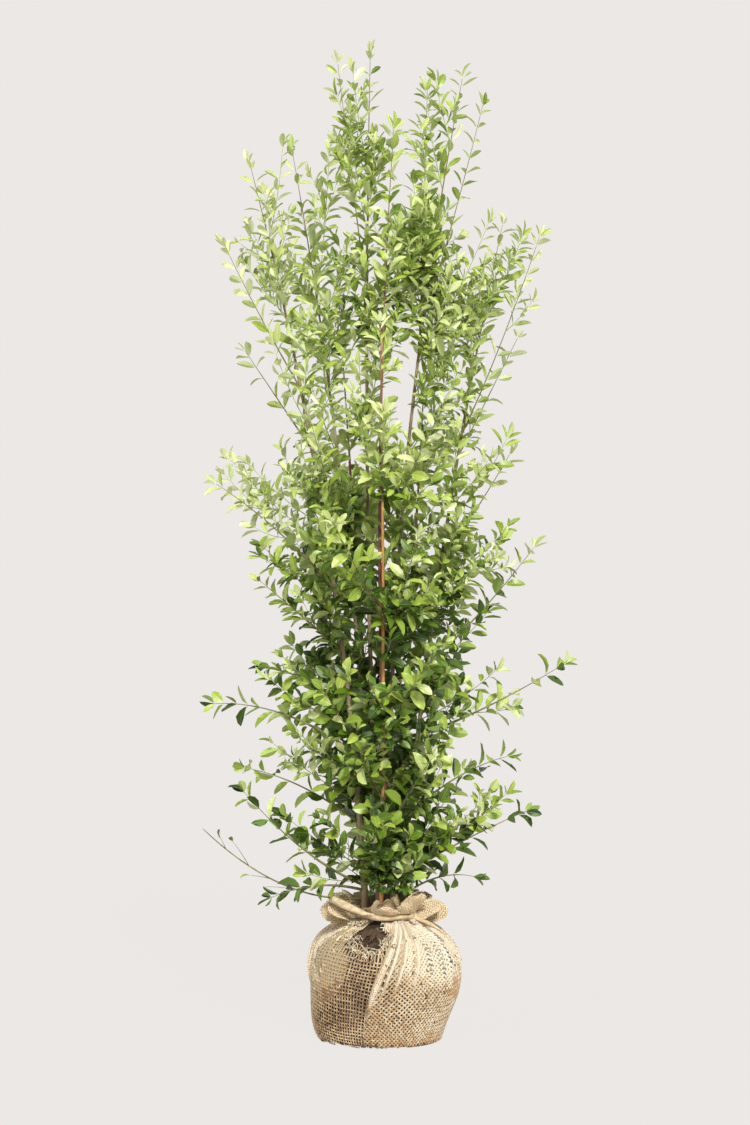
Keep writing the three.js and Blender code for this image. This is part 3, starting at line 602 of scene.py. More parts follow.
def turned(vector, axis, angle):
    """vector turned about an axis."""
    cosine, sine = math.cos(angle), math.sin(angle)
    return vector * cosine + np.cross(axis, vector) * sine + axis * (axis @ vector) * (1 - cosine)


def leaning(tangent, out, angle):
    return unit(tangent * math.cos(angle) + out * math.sin(angle))


def stray_vector(chance):
    return np.array([chance.gauss(0, 1) for _ in range(3)])


def upper_share(height):
    """0 in the lower crown, with its broad leaves, and 1 in the upper, with slim ones on steeper twigs."""
    return ease(height, UPPER["from"], UPPER["to"])


def lower_share(height):
    """How much the leaves are those of the foot of the plant, which are broader."""
    return 1 - ease(height, LOWER["below"], LOWER["ends"])


def kept_free(point):
    """Whether no leaf grows here."""
    reach = math.hypot(point[0], point[1])
    for zone in LEAF_FREE:
        beside = zone["beyond"] <= reach < zone["within"]
        if beside and point[1] <= zone["before"] and point[2] < zone["below"]:
            return True
    beside = BARE_FOOT["from"] < point[0] < BARE_FOOT["to"]
    return beside and point[1] < BARE_FOOT["before"] and point[2] < BARE_FOOT["below"]


def add_leaf(chance, point, along, tangent, size, tone):
    """A leaf whose face looks up, outwards and along its twig, with much left to chance."""
    if kept_free(point):
        return
    outwards = point * LEVEL / max(FACE["near"], math.hypot(point[0], point[1]))
    stray = stray_vector(chance)
    low = lower_share(point[2])
    most = mix(LEAF["most"], LOWER["most"], low)
    face = FACE["along"] * tangent + FACE["up"] * UP + FACE["out"] * outwards
    face = face + mix(LEAF["stray"], LOWER["stray"], low) * stray
    face = face - along * (face @ along)
    if np.linalg.norm(face) < FACE["least"]:
        face = np.cross(along, SIDE)
    stretch = mix(STRAY["shortest"], STRAY["longest"], chance.random() ** STRAY["skew"])
    length = LEAF["length"] * size * stretch
    width = LEAF["width"] * mix(1, UPPER["width"], upper_share(point[2])) * mix(1, LOWER["width"], low)
    leaf_rows.append({
        "base": point,
        "along": along,
        "face": unit(face),
        "length": length,
        "width": length * width * chance.uniform(*STRAY["width"]),
        "curve": chance.uniform(
            STRAY["flat"], STRAY["bent"] + STRAY["curled"] * (chance.random() < STRAY["often"])),
        "fold": chance.uniform(*STRAY["fold"]),
        "twist": chance.uniform(*STRAY["twist"]),
        "wave": chance.uniform(0, FULL_TURN),
        "tone": tone + min(most, max(-most, chance.gauss(0, mix(LEAF["tones"], LOWER["tones"], low)))),
    })


def add_pair(chance, path, share, turn, size, tone, missing=PAIR["missing"]):
    tangent = tangent_at(path, share)
    point = point_at(path, share)
    for half in (0, math.pi):
        if chance.random() < missing:
            continue
        out = turned(square_to(tangent), tangent, turn + half + chance.gauss(0, PAIR["stray"]))
        angle = LEAF["angle"] * mix(1, UPPER["angle"], upper_share(point[2]))
        along = leaning(tangent, out, angle * chance.uniform(*PAIR["angle"]))
        add_leaf(chance, point, along, tangent, size * chance.uniform(*PAIR["size"]), tone)


def end_leaves(chance, path, size, tone):
    """A shoot ends in a small pair and one leaf."""
    tangent = tangent_at(path, 1)
    turn = chance.uniform(0, math.pi)
    for half, angle, share in END_LEAVES:
        out = turned(square_to(tangent), tangent, turn + half)
        along = leaning(tangent, out, angle)
        add_leaf(chance, point_at(path, 1), along, tangent, size * share, tone + END_TONE)


def tone_at(point, young):
    """How light a spray is at a place: darker inside the crown and low down, partly for older leaves and
    partly as painted shade. young runs from 0 to 1 at the tip of a shoot.
    """
    height = point[2]
    middle, inner_age_and_shade, tip_youth_and_shade, outermost = (
        np.interp(height, TONES["heights"], TONES[key])
        for key in ("middle", "inner_age_and_shade", "tip_youth_and_shade", "outermost")
    )
    outer = min(outermost, math.hypot(point[0], point[1]) / read_off(CROWN, height))
    return middle + inner_age_and_shade * (outer - TONE_RADIUS) + tip_youth_and_shade * young


def add_twig(path, foot, tip, kind):
    twig_rows.append({"path": path, "foot": foot, "tip": tip, "kind": kind})


def grow_twig(chance, start, heading, reach, size, tone, finer=True):
    """A side twig that bends up towards its tip, with pairs of leaves all along and a few finer twigs. It has
    its own run of chance, so that the others stay as they are without it."""
    chance = random.Random(chance.getrandbits(32))
    if thinned(start + heading * reach * TWIG["probe"]):
        return
    side = unit(heading * np.array([1, 1, 0.2]))
    sag = UP * TWIG["lift"] * TWIG["bend"] * reach * chance.uniform(*TWIG["bends"])
    offset = side * TWIG["aside"] * reach - sag
    path = bowed_path(start, start + heading * reach, offset)
    foot = TWIG["radius"] * mix(TWIG["slimmest"], 1, min(1, reach / TWIG["longest"]))
    add_twig(path, foot, TWIG["tip"], BROWN if tone < 0.5 else GREEN)
    pairs = max(1, round(reach / TWIG["spacing"]))
    turn = chance.uniform(0, math.pi)
    for k in range(pairs):
        share = (k + TWIG["first"]) / (pairs + TWIG["after"])
        leaf_size = size * mix(TWIG["largest"], TWIG["smallest"], share)
        add_pair(chance, path, share, turn + k * math.pi / 2, leaf_size, tone + TWIG["lighter"] * share)
    end_leaves(chance, path, size * TWIG["end"], tone + TWIG["end_tone"])
    if finer and reach > FINER["above"]:
        grow_finer_twigs(chance, path, reach, size, tone)


def grow_finer_twigs(chance, path, reach, size, tone):
    for share in np.arange(FINER["from"], FINER["to"], FINER["spacing"] / reach):
        if chance.random() < FINER["missing"]:
            continue
        tangent = tangent_at(path, share)
        out = turned(square_to(tangent), tangent, chance.uniform(0, FULL_TURN))
        heading = unit(leaning(tangent, out, TWIG["spread"]) + UP * FINER["lift"])
        length = chance.uniform(*FINER["reach"])
        grow_twig(chance, point_at(path, share), heading, length, size * FINER["size"], tone, finer=False)


def grow_shoot(chance, path, size, twiggy):
    """Leaves in pairs on a shoot, each pair square to the last, with side twigs below its top."""
    length = length_of(path)
    count = max(SHOOT["fewest"], round(length / SHOOT["spacing"]))
    turn = chance.uniform(0, math.pi)
    spray_tone = chance.gauss(0, SHOOT["tones"])
    for k in range(count):
        share = (k + SHOOT["first"] + SHOOT["uneven"] * chance.random()) / (count + SHOOT["after"])
        point = point_at(path, share)
        tone = tone_at(point, share**2) + spray_tone
        leaf_size = size * mix(SHOOT["largest"], SHOOT["smallest"], share ** SHOOT["shrink"])
        quarter = turn + k * math.pi / 2
        if not thinned(point, THIN_PAIRS):
            pair = random.Random(chance.getrandbits(32))
            low, high = SHOOT["missing"]
            add_pair(pair, path, share, quarter, leaf_size, tone, low * (1 - share) ** 2 + high)
        left = length * (1 - share)
        if left >= SHOOT["bare_top"] and share >= SHOOT["foot"]:
            grow_side_twigs(chance, path, share, quarter, left, leaf_size, tone, twiggy)
    end_leaves(chance, path, size * SHOOT["end"], tone_at(point_at(path, 1), 1) + spray_tone)


def grow_side_twigs(chance, path, share, turn, left, size, tone, twiggy):
    """Up to two twigs from one place of a shoot. left is the length of shoot beyond it."""
    point = point_at(path, share)
    tangent = tangent_at(path, share)
    for half in (0, math.pi):
        if chance.random() > twiggy * read_off(FULLNESS, point[2]):
            continue
        out = turned(square_to(tangent), tangent, turn + half + chance.gauss(0, SHOOT["stray"]))
        heading = leaning(tangent, out, TWIG["spread"] * chance.uniform(*TWIG["spreads"]))
        heading = unit(heading + UP * TWIG["lift"] * (1 + UPPER["lift"] * upper_share(point[2])))
        reach = TWIG["share"] * left * chance.uniform(*TWIG["uneven"])
        reach = min(TWIG["longest"], max(TWIG["shortest"], reach))
        grow_twig(chance, point, heading, reach, size * TWIG["size"], tone)


def grow_sprays(chance, stem, number):
    """Sprays along the bare share of a stem, which fill the crown round it."""
    path = stem["path"]
    bottom = share_at_height(path, SPRAY["lowest"] + SPRAY["steps"] * (number % 4))
    length = length_of(path, bottom, stem["bare"])
    count = round(length / SPRAY["spacing"])
    for k in range(count):
        share = mix(bottom, stem["bare"], (k + SPRAY["uneven"] * chance.random()) / count)
        point = point_at(path, share)
        height = point[2]
        azimuth = GOLDEN_TURN * k + number * SPRAY["turn"] + SPRAY["turns"] * chance.random()
        if chance.random() > SPRAY["share"] * read_off(FULLNESS, height):
            continue
        tangent = tangent_at(path, share)
        out = np.array([math.cos(azimuth), math.sin(azimuth), 0])
        out = unit(out + point * LEVEL / SPRAY["outwards"])
        out = unit(out - tangent * (out @ tangent))
        in_front = out[1] < FRONT["beyond"] and FRONT["from"] < height < FRONT["to"]
        if in_front and chance.random() < FRONT["share"]:
            continue
        heading = leaning(tangent, out, SPRAY["spread"] * chance.uniform(*SPRAY["spreads"]))
        heading = unit(heading + UP * (SPRAY["lift"] + SPRAY["high_lift"] * upper_share(height)))
        reach = reach_in_crown(point, heading, chance.uniform(*SPRAY["reach"]))
        if reach < SPRAY["least"]:
            continue
        tone = tone_at(point + heading * reach * SPRAY["probe"], 0) + chance.gauss(0, SPRAY["tones"])
        grow_twig(chance, point, heading, reach, chance.uniform(*SPRAY["size"]), tone)


def reach_in_crown(start, heading, reach):
    """The reach, cut shorter step by step until its end lies within the crown."""
    for _ in range(SPRAY["tries"]):
        end = start + heading * reach
        if math.hypot(end[0], end[1]) < read_off(CROWN, end[2]) * SPRAY["within"]:
            break
        reach *= SPRAY["shorter"]
    return reach


def grow_twig_to(chance, stem_number, height, tip, size, tone):
    """A twig from a height on a stem to a tip."""
    path = STEMS[stem_number]["path"]
    start = point_at(path, share_at_height(path, height))
    reach = np.linalg.norm(tip - start)
    grow_twig(chance, start, (tip - start) / reach, reach, size, tone)


def grow_plant():
    """The foliage of all stems and shoots. Each has its own run of chance."""
    make_stem_paths()
    for number, stem in enumerate(STEMS):
        chance = random.Random(SEED + number)
        leader = part_of(stem["path"], stem["bare"], 1 + REACH_ON / length_of(stem["path"]))
        add_twig(leader, stem_radius(stem, stem["bare"]), SHOOT["tip"], BARK)
        grow_shoot(chance, leader, LEADER["size"], LEADER["twigs"])
        grow_sprays(chance, stem, number)
    for stem_number, height, *tip in FILLING:
        chance = chance_at(tip)
        tone = tone_at(tip, 0) + chance.gauss(0, FILLING_TONES)
        grow_twig_to(chance, stem_number, height, tip, 1.0, tone)
    for number, (stem_number, height, *tip) in enumerate(FOOT_SPRAYS):
        chance = random.Random(SEED + SEEDS["foot"] + number)
        grow_twig_to(chance, stem_number, height, tip, FOOT_LEAF_IN_PAINTED_SHADE["size"], FOOT_LEAF_IN_PAINTED_SHADE["tone"])
    shoots = [make_shoot(*row) for row in SHOOTS]
    for number, shoot in enumerate(shoots):
        grow_side_shoot(random.Random(SEED + SEEDS["shoots"] + number), shoot)
    return shoots


def grow_side_shoot(chance, shoot):
    path = shoot["path"]
    if shoot["bare"] == 1:
        grow_bare_bough(chance, path)
        return
    start = shoot["bare"] if shoot["bare"] > 0 else shoot["away"] / length_of(path)
    path = part_of(path, start, 1 + REACH_ON / length_of(path))
    add_twig(path, shoot_radius(shoot, start), SHOOT["tip"], BROWN)
    size = SIDE_SHOOT["high_size" if point_at(path, 1)[2] > HIGH["above"] else "size"]
    upright = max(0, tangent_at(path, 0.5)[2])
    grow_shoot(chance, path, size, SIDE_SHOOT["twigs"] + SIDE_SHOOT["upright_twigs"] * upright)


def part_of(path, start, end):
    """A stretch of a path as a path of its own. An end beyond 1 carries the curve on."""
    middle = mix(mix(path[0], path[1], start), mix(path[1], path[2], start), end)
    return np.array([point_at(path, start), middle, point_at(path, end)])


def grow_bare_bough(chance, path):
    """A thin arching bough with a few bare twigs and hardly a leaf."""
    for share, reach in BARE_TWIGS["places"]:
        tangent = tangent_at(path, share)
        turn = chance.uniform(-BARE_TWIGS["turn"], BARE_TWIGS["turn"]) + math.pi * (share > 0.6)
        heading = leaning(tangent, turned(square_to(tangent), tangent, turn), BARE_TWIGS["spread"])
        start = point_at(path, share)
        twig = bowed_path(start, start + heading * reach, UP * BARE_TWIGS["bend"] * reach)
        add_twig(twig, BARE_TWIGS["radius"], BARE_TWIGS["tip"], BROWN)
        if share > BARE_TWIGS["leafy"]:
            add_leaf(chance, point_at(twig, 1), heading, tangent, BARE_TWIGS["leaf"], BARE_TWIGS["tone"])


def make_twigs():
    """All twigs, joined by colour."""
    builds = [Build() for _ in TWIG_KINDS]
    for twig in twig_rows:
        path = twig["path"]
        count = round(length_of(path) / TWIG_MESH["step"])
        shares = np.linspace(0, 1, max(TWIG_MESH["fewest"], min(TWIG_MESH["most"], count)))
        radii = mix(twig["foot"], twig["tip"], shares ** TWIG_MESH["taper"])
        section = round_section(radii, TWIG_MESH["sides"])
        tube(builds[twig["kind"]], point_at(path, shares), section, capped=(False, True))
    for build, kind in zip(builds, TWIG_KINDS):
        material = plain_material(kind["material"], kind["rgb"], kind["roughness"])
        dressed(build.piece(kind["piece"], [material]), "foliage", *FOLIAGE_NODES)


# Leaf meshes. Rows run from the base to the tip, columns from edge to edge, with the rib in the middle.

LEAF_ROWS = np.array([0.1, 0.32, 0.6, 0.86])
EDGE_POWERS = (0.86, 0.84)
RIB = {"half": 0.45, "taper": 1.15, "share": 0.3, "keel": 0.25}
WAVE = {"size": 0.035, "count": 9, "out_of_step": 1.7}
PETIOLE = {"sides": 3, "foot": 0.62, "tip": 0.34, "sunk": 1.6}
BLADE_FACE, BLADE_UNDER, BLADE_RIB = 0, 1, 2
# Leaf tones, each with its gloss: the darker tones stand partly for leaves in painted shade and have less
# gloss, so that reflections don't lighten them.
LEAF_TONES = table_of(
    "name below gloss face under rib",
    ("dark", 0.27, 0.4, (46, 68, 6), (92, 122, 48), (112, 142, 66)),
    ("deep", 0.39, 0.5, (82, 110, 16), (120, 147, 66), (142, 168, 86)),
    ("mid", 0.52, 0.7, (128, 152, 40), (152, 176, 84), (172, 194, 116)),
    ("fresh", 0.66, 0.8, (158, 178, 66), (180, 200, 112), (196, 214, 146)),
    ("bright", 0.82, 1.0, (184, 197, 115), (198, 213, 146), (212, 224, 174)),
    ("lime", math.inf, 1.0, (200, 210, 144), (213, 224, 170), (224, 232, 190)),
)
LEAF_LOOK = {"face": 0.44, "under": 0.62, "rib": 0.55, "coat": 0.3, "coat_roughness": 0.4}


def leaf_width(v):
    near, far = EDGE_POWERS
    peak = near / (near + far)
    return v**near * (1 - v) ** far / (peak**near * (1 - peak) ** far)


def leaf_template():
    """Vertex rows as (u, v, layer), where a u beyond 1 stands for the rib's edge, and faces by material."""
    vertices = [(0, 0, 0), (0, 1, 0)]
    top = []
    under = []
    for v in LEAF_ROWS:
        top_row = []
        under_row = []
        for u in (-1, -2, 2, 1):
            edge = abs(u) == 1
            top_row.append(len(vertices))
            vertices.append((u, v, 0 if edge else 1))
            if edge:
                under_row.append(top_row[-1])
            else:
                under_row.append(len(vertices))
                vertices.append((u, v, -1))
        top.append(top_row)
        under.append(under_row)
    quads, quad_numbers, triangles, triangle_numbers = [], [], [], []
    for table, flip, blade in ((top, False, BLADE_FACE), (under, True, BLADE_UNDER)):
        for k in range(3):
            number = BLADE_RIB if k == 1 else blade
            for low, high in zip(table, table[1:]):
                quad = [low[k], low[k + 1], high[k + 1], high[k]]
                quads.append(quad[::-1] if flip else quad)
                quad_numbers.append(number)
            for triangle in ([0, table[0][k + 1], table[0][k]], [1, table[-1][k], table[-1][k + 1]]):
                triangles.append(triangle[::-1] if flip else triangle)
                triangle_numbers.append(number)
    return np.array(vertices, float), np.array(quads), quad_numbers, np.array(triangles), triangle_numbers


def add_leaves(build, leaves):
    """Adds all leaves of one colour at once."""
    table, quads, quad_numbers, triangles, triangle_numbers = leaf_template()
    u, v, layer = table.T
    count = len(leaves)
    gather = {key: np.array([leaf[key] for leaf in leaves]) for key in leaves[0]}
    length, width, curve, fold, phase = (
        gather[key][:, None] for key in ("length", "width", "curve", "fold", "wave"))
    half = width / 2 * np.where((v > 0) & (v < 1), leaf_width(v), 0)
    on_rib = np.abs(u) > 1
    rib_half = np.minimum(RIB["half"] * (RIB["taper"] - v), half * RIB["share"])
    lateral = np.where(on_rib, np.sign(u) * rib_half, u * half)
    wave = WAVE["size"] * np.abs(u) * ~on_rib * half * 2
    wave = wave * np.sin(WAVE["count"] * v + phase + (u > 0) * WAVE["out_of_step"])
    thick = LEAF["thickness"] / 2 * layer + np.where(on_rib & (layer < 0), -RIB["keel"], 0)
    offset = np.abs(lateral) * np.sin(fold) + wave + thick
    across = lateral * np.cos(fold)
    twist = gather["twist"][:, None] * v
    x = across * np.cos(twist) - offset * np.sin(twist)
    lift = across * np.sin(twist) + offset * np.cos(twist)
    lean = curve * v
    y = length * np.sin(lean) / curve + lift * np.sin(lean)
    z = -length * (1 - np.cos(lean)) / curve + lift * np.cos(lean)
    along, face = gather["along"], gather["face"]
    side = np.cross(along, face)
    base = gather["base"] + along * LEAF["petiole"]
    points = base[:, None]
    for offsets, direction in ((x, side), (y, along), (z, face)):
        points = points + offsets[..., None] * direction[:, None]
    shift = (np.arange(count) * len(table))[:, None, None]
    build.add(points, [
        ((quads + shift).reshape(-1, 4), np.tile(quad_numbers, count)),
        ((triangles + shift).reshape(-1, 3), np.tile(triangle_numbers, count)),
    ])
    add_petioles(build, gather, base, side)


def add_petioles(build, gather, base, side):
    """A slim three-sided stalk from the twig into each leaf."""
    sides = PETIOLE["sides"]
    angle = np.arange(sides) * FULL_TURN / sides
    ring = np.cos(angle)[:, None] * side[:, None] + np.sin(angle)[:, None] * gather["face"][:, None]
    low = gather["base"][:, None] + PETIOLE["foot"] * ring
    high = (base + gather["along"] * PETIOLE["sunk"])[:, None] + PETIOLE["tip"] * ring
    k = np.arange(sides)
    following = (k + 1) % sides
    quads = np.stack([k, following, sides + following, sides + k], -1)
    shift = (np.arange(len(base)) * 2 * sides)[:, None, None]
    build.add(np.concatenate([low, high], axis=1), [((quads + shift).reshape(-1, 4), BLADE_RIB)])


def make_leaves():
    """Plain base colours are dealt out by spray: a leaf takes the first tone that it lies below."""
    lowest = -math.inf
    for tone in LEAF_TONES:
        chosen = [leaf for leaf in leaf_rows if lowest <= leaf["tone"] < tone["below"]]
        lowest = tone["below"]
        build = Build()
        add_leaves(build, chosen)
        name = "leaves_" + tone["name"]
        materials = [
            plain_material(name + "_face", tone["face"], LEAF_LOOK["face"], Specular_IOR_Level=tone["gloss"],
                           Coat_Weight=LEAF_LOOK["coat"] * tone["gloss"],
                           Coat_Roughness=LEAF_LOOK["coat_roughness"]),
            plain_material(name + "_under", tone["under"], LEAF_LOOK["under"]),
            plain_material(name + "_rib", tone["rib"], LEAF_LOOK["rib"]),
        ]
        dressed(build.piece(name, materials, sharp=True), "foliage", *FOLIAGE_NODES)


# Stems and boughs, with the relief of their bark

LIMB = {"sides": 14, "step": 5.5, "fewest": 6, "overlap": 0.001, "sunk": 0.4}
BARE_SLIM = 0.68  # how much slimmer the bare bough is than the other boughs' feet
RELIEF = {"joint": 41, "joint_half": 3.2, "swelling": 0.09, "ridge": 0.03, "ridges": 5, "ridge_turn": 55,
          "radius": 9, "rough": 0.045, "rough_size": 7, "lump": 0.05, "lump_size": 30}
BARK_PLACES = (0.3, 0.5, 0.72)
BARK_LOOK = {"scale": 90, "roughness": 0.72, "relief": 0.5, "relief_scale": 900, "stretch": (1, 1, 0.25)}
BARKS = {
    "grey": ((112, 96, 72), (150, 132, 102), (178, 162, 130)),
    "warm": ((150, 98, 54), (184, 128, 74), (206, 160, 104)),
    "green": ((96, 88, 52), (124, 118, 70), (150, 146, 92)),
    "red": ((112, 62, 52), (146, 92, 70), (172, 124, 92)),
}
STEM_BARKS = ["grey", "warm", "grey", "grey", "red", "green", "grey", "red", "green"]


def run_along(points):
    """The length of a line of points up to each of them."""
    return np.concatenate([[0], np.cumsum(np.linalg.norm(np.diff(points, axis=0), axis=1))])


def bark_section(centres, radii, seed):
    """Rings with swollen joints, faint ridges and a rough skin."""
    angle = np.arange(LIMB["sides"]) * FULL_TURN / LIMB["sides"]
    run = run_along(centres)
    joint = np.abs((run + seed * 13) % RELIEF["joint"] - RELIEF["joint"] / 2)
    swelling = RELIEF["swelling"] * bump(joint, RELIEF["joint_half"])
    ridges = RELIEF["ridge"] * np.sin(RELIEF["ridges"] * angle + run[:, None] / RELIEF["ridge_turn"] + seed)
    radius = RELIEF["radius"]
    place = np.stack(np.broadcast_arrays(run[:, None], radius * np.cos(angle), radius * np.sin(angle)), -1)
    rough = RELIEF["rough"] * noise_at(place, RELIEF["rough_size"], seed)
    rough = rough + RELIEF["lump"] * noise_at(place, RELIEF["lump_size"], seed + 5)
    scale = 1 + swelling[:, None] + ridges + rough
    ring = np.stack([np.cos(angle), np.sin(angle)], -1)
    return radii[:, None, None] * scale[..., None] * ring


def make_limb(name, path, start, end, radius_at, material, seed):
    length = length_of(path, start, end)
    shares = np.linspace(start, end, max(LIMB["fewest"], round(length / LIMB["step"])))
    centres = point_at(path, shares)
    build = Build()
    tube(build, centres, bark_section(centres, radius_at(shares), seed))
    return dressed(build.piece(name + "_bark", [material]), "bark", name)


def make_limbs(shoots):
    barks = {
        name: mottled_material("bark_" + name, list(zip(BARK_PLACES, tones)), **BARK_LOOK)
        for name, tones in BARKS.items()
    }
    for number, (stem, bark) in enumerate(zip(STEMS, STEM_BARKS), 1):
        make_limb(f"stem_{number}", stem["path"], 0, stem["bare"] + LIMB["overlap"],
                  lambda share: stem_radius(stem, share), barks[bark], number)
    boughs = [shoot for shoot in shoots if shoot["bare"] > 0]
    for number, shoot in enumerate(boughs, 1):
        slim = BARE_SLIM if shoot["bare"] == 1 else 1
        start = LIMB["sunk"] * shoot["away"] / length_of(shoot["path"])
        make_limb(f"bough_{number:02d}", shoot["path"], start, shoot["bare"],
                  lambda share: shoot_radius(shoot, share) * slim, barks["green"], number + SEEDS["boughs"])


# The root ball: the profile, gathers and tear of the solids, with the finer pleats of real cloth

# Pleats by azimuth at the neck and at their foot, and the height where they end. The borders hide the seams
# between two widths of weave, and a roll is a rolled fold of that half width along the pleat.
PLEATS = table_of(
    "top foot ends size half bend border roll",
    (-65, -105, 58, 9, 11, 0.5, True, 6.5),
    (-61, -94, 96, 6, 5, 0.5, False, 4.0),
    (-57, -84, 104, 6, 5, 0.5, False, 4.0),
    (-54, -70, 112, 6, 6, 0.6, False, 3.5),
    (-48, -54, 120, 5, 6, 0.8, False, 0),
    (-41, -41, 124, 5, 6, 1.0, False, 0),
    (-33, -32, 110, 8, 9, 1.0, False, 0),
    (-20, -10, 126, 3.5, 9, 1.0, False, 0),
    (-4, 4, 140, 2.5, 8, 1.0, False, 0),
    (14, 24, 84, 11, 10, 1.0, True, 7.0),
    (36, 40, 124, 8, 9, 1.0, False, 0),
    (62, 60, 140, 7, 8, 1.0, False, 0),
    (94, 84, 70, 12, 10, 1.1, True, 7.0),
    (116, 120, 120, 8, 9, 1.0, False, 0),
    (134, 140, 140, 6, 8, 1.0, False, 0),
    (154, 162, 78, 11, 10, 1.0, True, 7.0),
    (178, 190, 130, 2, 9, 1.0, False, 0),
    (-152, -162, 130, 5, 10, 1.0, False, 0),
    (-134, -150, 130, 6, 8, 1.0, False, 0),
)
BORDERS = [pleat for pleat in PLEATS if pleat["border"]]
PLEAT = {"gain": 1.25, "narrow": 0.35, "broad": 1.1, "steep": 0.42,
         "starts": (-0.08, 0.14), "ends": (0.6, 1.12)}
VALLEY = {"share": 0.4, "beside": 1.25, "half": 0.6}
GATHER = {"size": 1.5, "count": 34, "uneven": 3, "from": 196, "to": 230, "past": 4, "fade": 12}
HOLE = {"azimuth": -107, "height": 206, "half_angle": 22, "half_height": 30, "ragged": 0.5, "fringe": 9}

# The widths of weave: the borders that they lie between, the yarns' spacing and slant, and how wide the
# yarns are
WEAVES = table_of(
    "from to pitch turn fill",
    (3, 0, 7.1, -8, 0.42),
    (0, 1, 6.6, 47, 0.6),
    (1, 2, 6.8, -4, 0.56),
    (2, 3, 6.6, 44, 0.58),
)
CLOTH = {"border_height": 150.0, "margin": 0.5, "above_neck": 3, "overlap": 2.0, "crowding": 1.15,
         "narrowest": 0.2, "tight_lift": 0.45, "steps": (0.006, 0.8)}
BENT = {"size": 4.0, "wave": 75}
YARN = {"lift": 0.62, "thickness": 1.5, "widest": 0.97, "end": 0.3, "below": 0.35, "above": 0.55,
        "lowest": 0.6}

# Spots on the ball, each a soft patch round a place, with half widths in degrees and millimetres
SLUMPS = table_of(
    "azimuth height wide tall much",
    (180, 15, 55, 52, 12),
    (0, 28, 55, 52, -11),
    (180, 180, 50, 46, -11),
    (0, 190, 50, 40, -17),
)
CLOSED_SPOTS = table_of(
    "azimuth height wide tall much",
    (-53, 184, 27, 46, 1.9),
    (-164, 164, 30, 66, 1.7),
    (-18, 186, 24, 34, 1.2),
    (-34, 178, 13, 36, 0.6),
    (52, 180, 30, 42, 0.9),
    (130, 185, 34, 40, 0.9),
)
CLOSED = {"pleats": 0.9, "shoulder": (212, 226)}
# A darker patch low on the ball's left, partly dirt and partly painted shade.
DIRT_AND_PAINTED_SHADE = {"azimuth": -130, "height": 108, "wide": 48, "tall": 105, "much": 2.2}
STAINS = table_of(
    "tone azimuth height wide tall much",
    ("rust", -24, 102, 15, 32, 0.8),
    ("rust", -98, 46, 20, 24, 0.45),
    ("rust", -62, 8, 50, 15, 0.7),
    ("rust", 70, 70, 22, 30, 0.6),
    ("rust", 150, 16, 50, 20, 0.6),
    ("moss", -172, 150, 12, 66, 0.6),
    ("moss", -146, 218, 18, 13, 0.7),
    ("moss", 28, 130, 14, 60, 0.35),
    ("dust", -148, 172, 30, 50, 0.95),
    ("dust", 110, 150, 30, 40, 0.6),
    ("brown", -103, 206, 22, 30, 0.6),
    ("earth", -115, 0, 70, 8, 0.65),
)
YARN_TONES = [
    ("earth", (96, 71, 43)),
    ("brown", (138, 109, 73)),
    ("tan", (178, 150, 110)),
    ("beige", (204, 183, 148)),
    ("cream", (221, 206, 177)),
    ("pale", (230, 219, 198)),
    ("rust", (188, 150, 106)),
    ("moss", (156, 156, 108)),
    ("dust", (168, 149, 114)),
    ("straw", (229, 207, 168)),
]
TONE_NUMBER = {name: number for number, (name, _) in enumerate(YARN_TONES)}
# How light the yarns are. The ridge term is painted highlight on the pleats' ridges and painted shade in the
# valleys beside them.
TONE_LIGHT = {"middle": 3.1, "closed": 1.1, "ridge": 1.2, "cloud": (0.7, 0.4), "stray": (0.42, 0.12)}


def ball_radius(height):
    rest = np.clip(1 - height / WAIST_HEIGHT, 0, None)
    below = mix(UNDERSIDE_RADIUS, WAIST_RADIUS, 1 - rest**BELLY_POWER)
    climb = np.clip((height - WAIST_HEIGHT) / (NECK_HEIGHT - WAIST_HEIGHT), 0, 1)
    above = mix(WAIST_RADIUS, NECK_RADIUS, climb**SHOULDER_POWER)
    return np.where(height <= WAIST_HEIGHT, below, above)


PROFILE_HEIGHTS = np.linspace(0, NECK_HEIGHT, NECK_HEIGHT + 1)
PROFILE_STEPS = np.hypot(np.diff(PROFILE_HEIGHTS), np.diff(ball_radius(PROFILE_HEIGHTS)))
PROFILE_LENGTHS = np.concatenate([[0], np.cumsum(PROFILE_STEPS)])
NECK_LENGTH = PROFILE_LENGTHS[-1]


def height_on_ball(length):
    return np.interp(length, PROFILE_LENGTHS, PROFILE_HEIGHTS)


def length_on_ball(height):
    return np.interp(height, PROFILE_HEIGHTS, PROFILE_LENGTHS)


def fold_at(angle, height):
    above = np.clip((height - FOLD["dies"]) / (NECK_HEIGHT - FOLD["dies"]), 0, None)
    fade = np.clip((NECK_HEIGHT - height) / FOLD["fade"], 0, 1)
    wave = sum(size * np.sin(count * angle + shift) for size, count, shift in FOLD["waves"])
    return FOLD["depth"] * above ** FOLD["growth"] * fade * wave


def spot_at(spot, angle, height):
    """How much of a spot lies at a place."""
    across = wrapped(angle - math.radians(spot["azimuth"])) / math.radians(spot["wide"])
    up = (height - spot["height"]) / spot["tall"]
    return spot["much"] * np.exp(-(across**2 + up**2))


def spots_at(spots, angle, height):
    return sum(spot_at(spot, angle, height) for spot in spots)


def pleat_line(pleat, height):
    """The azimuth of a pleat at a height, in radians, and how far down it that is."""
    down = np.clip((NECK_HEIGHT - height) / (NECK_HEIGHT - pleat["ends"]), 0, 2)
    return np.radians(pleat["top"] + (pleat["foot"] - pleat["top"]) * down ** pleat["bend"]), down


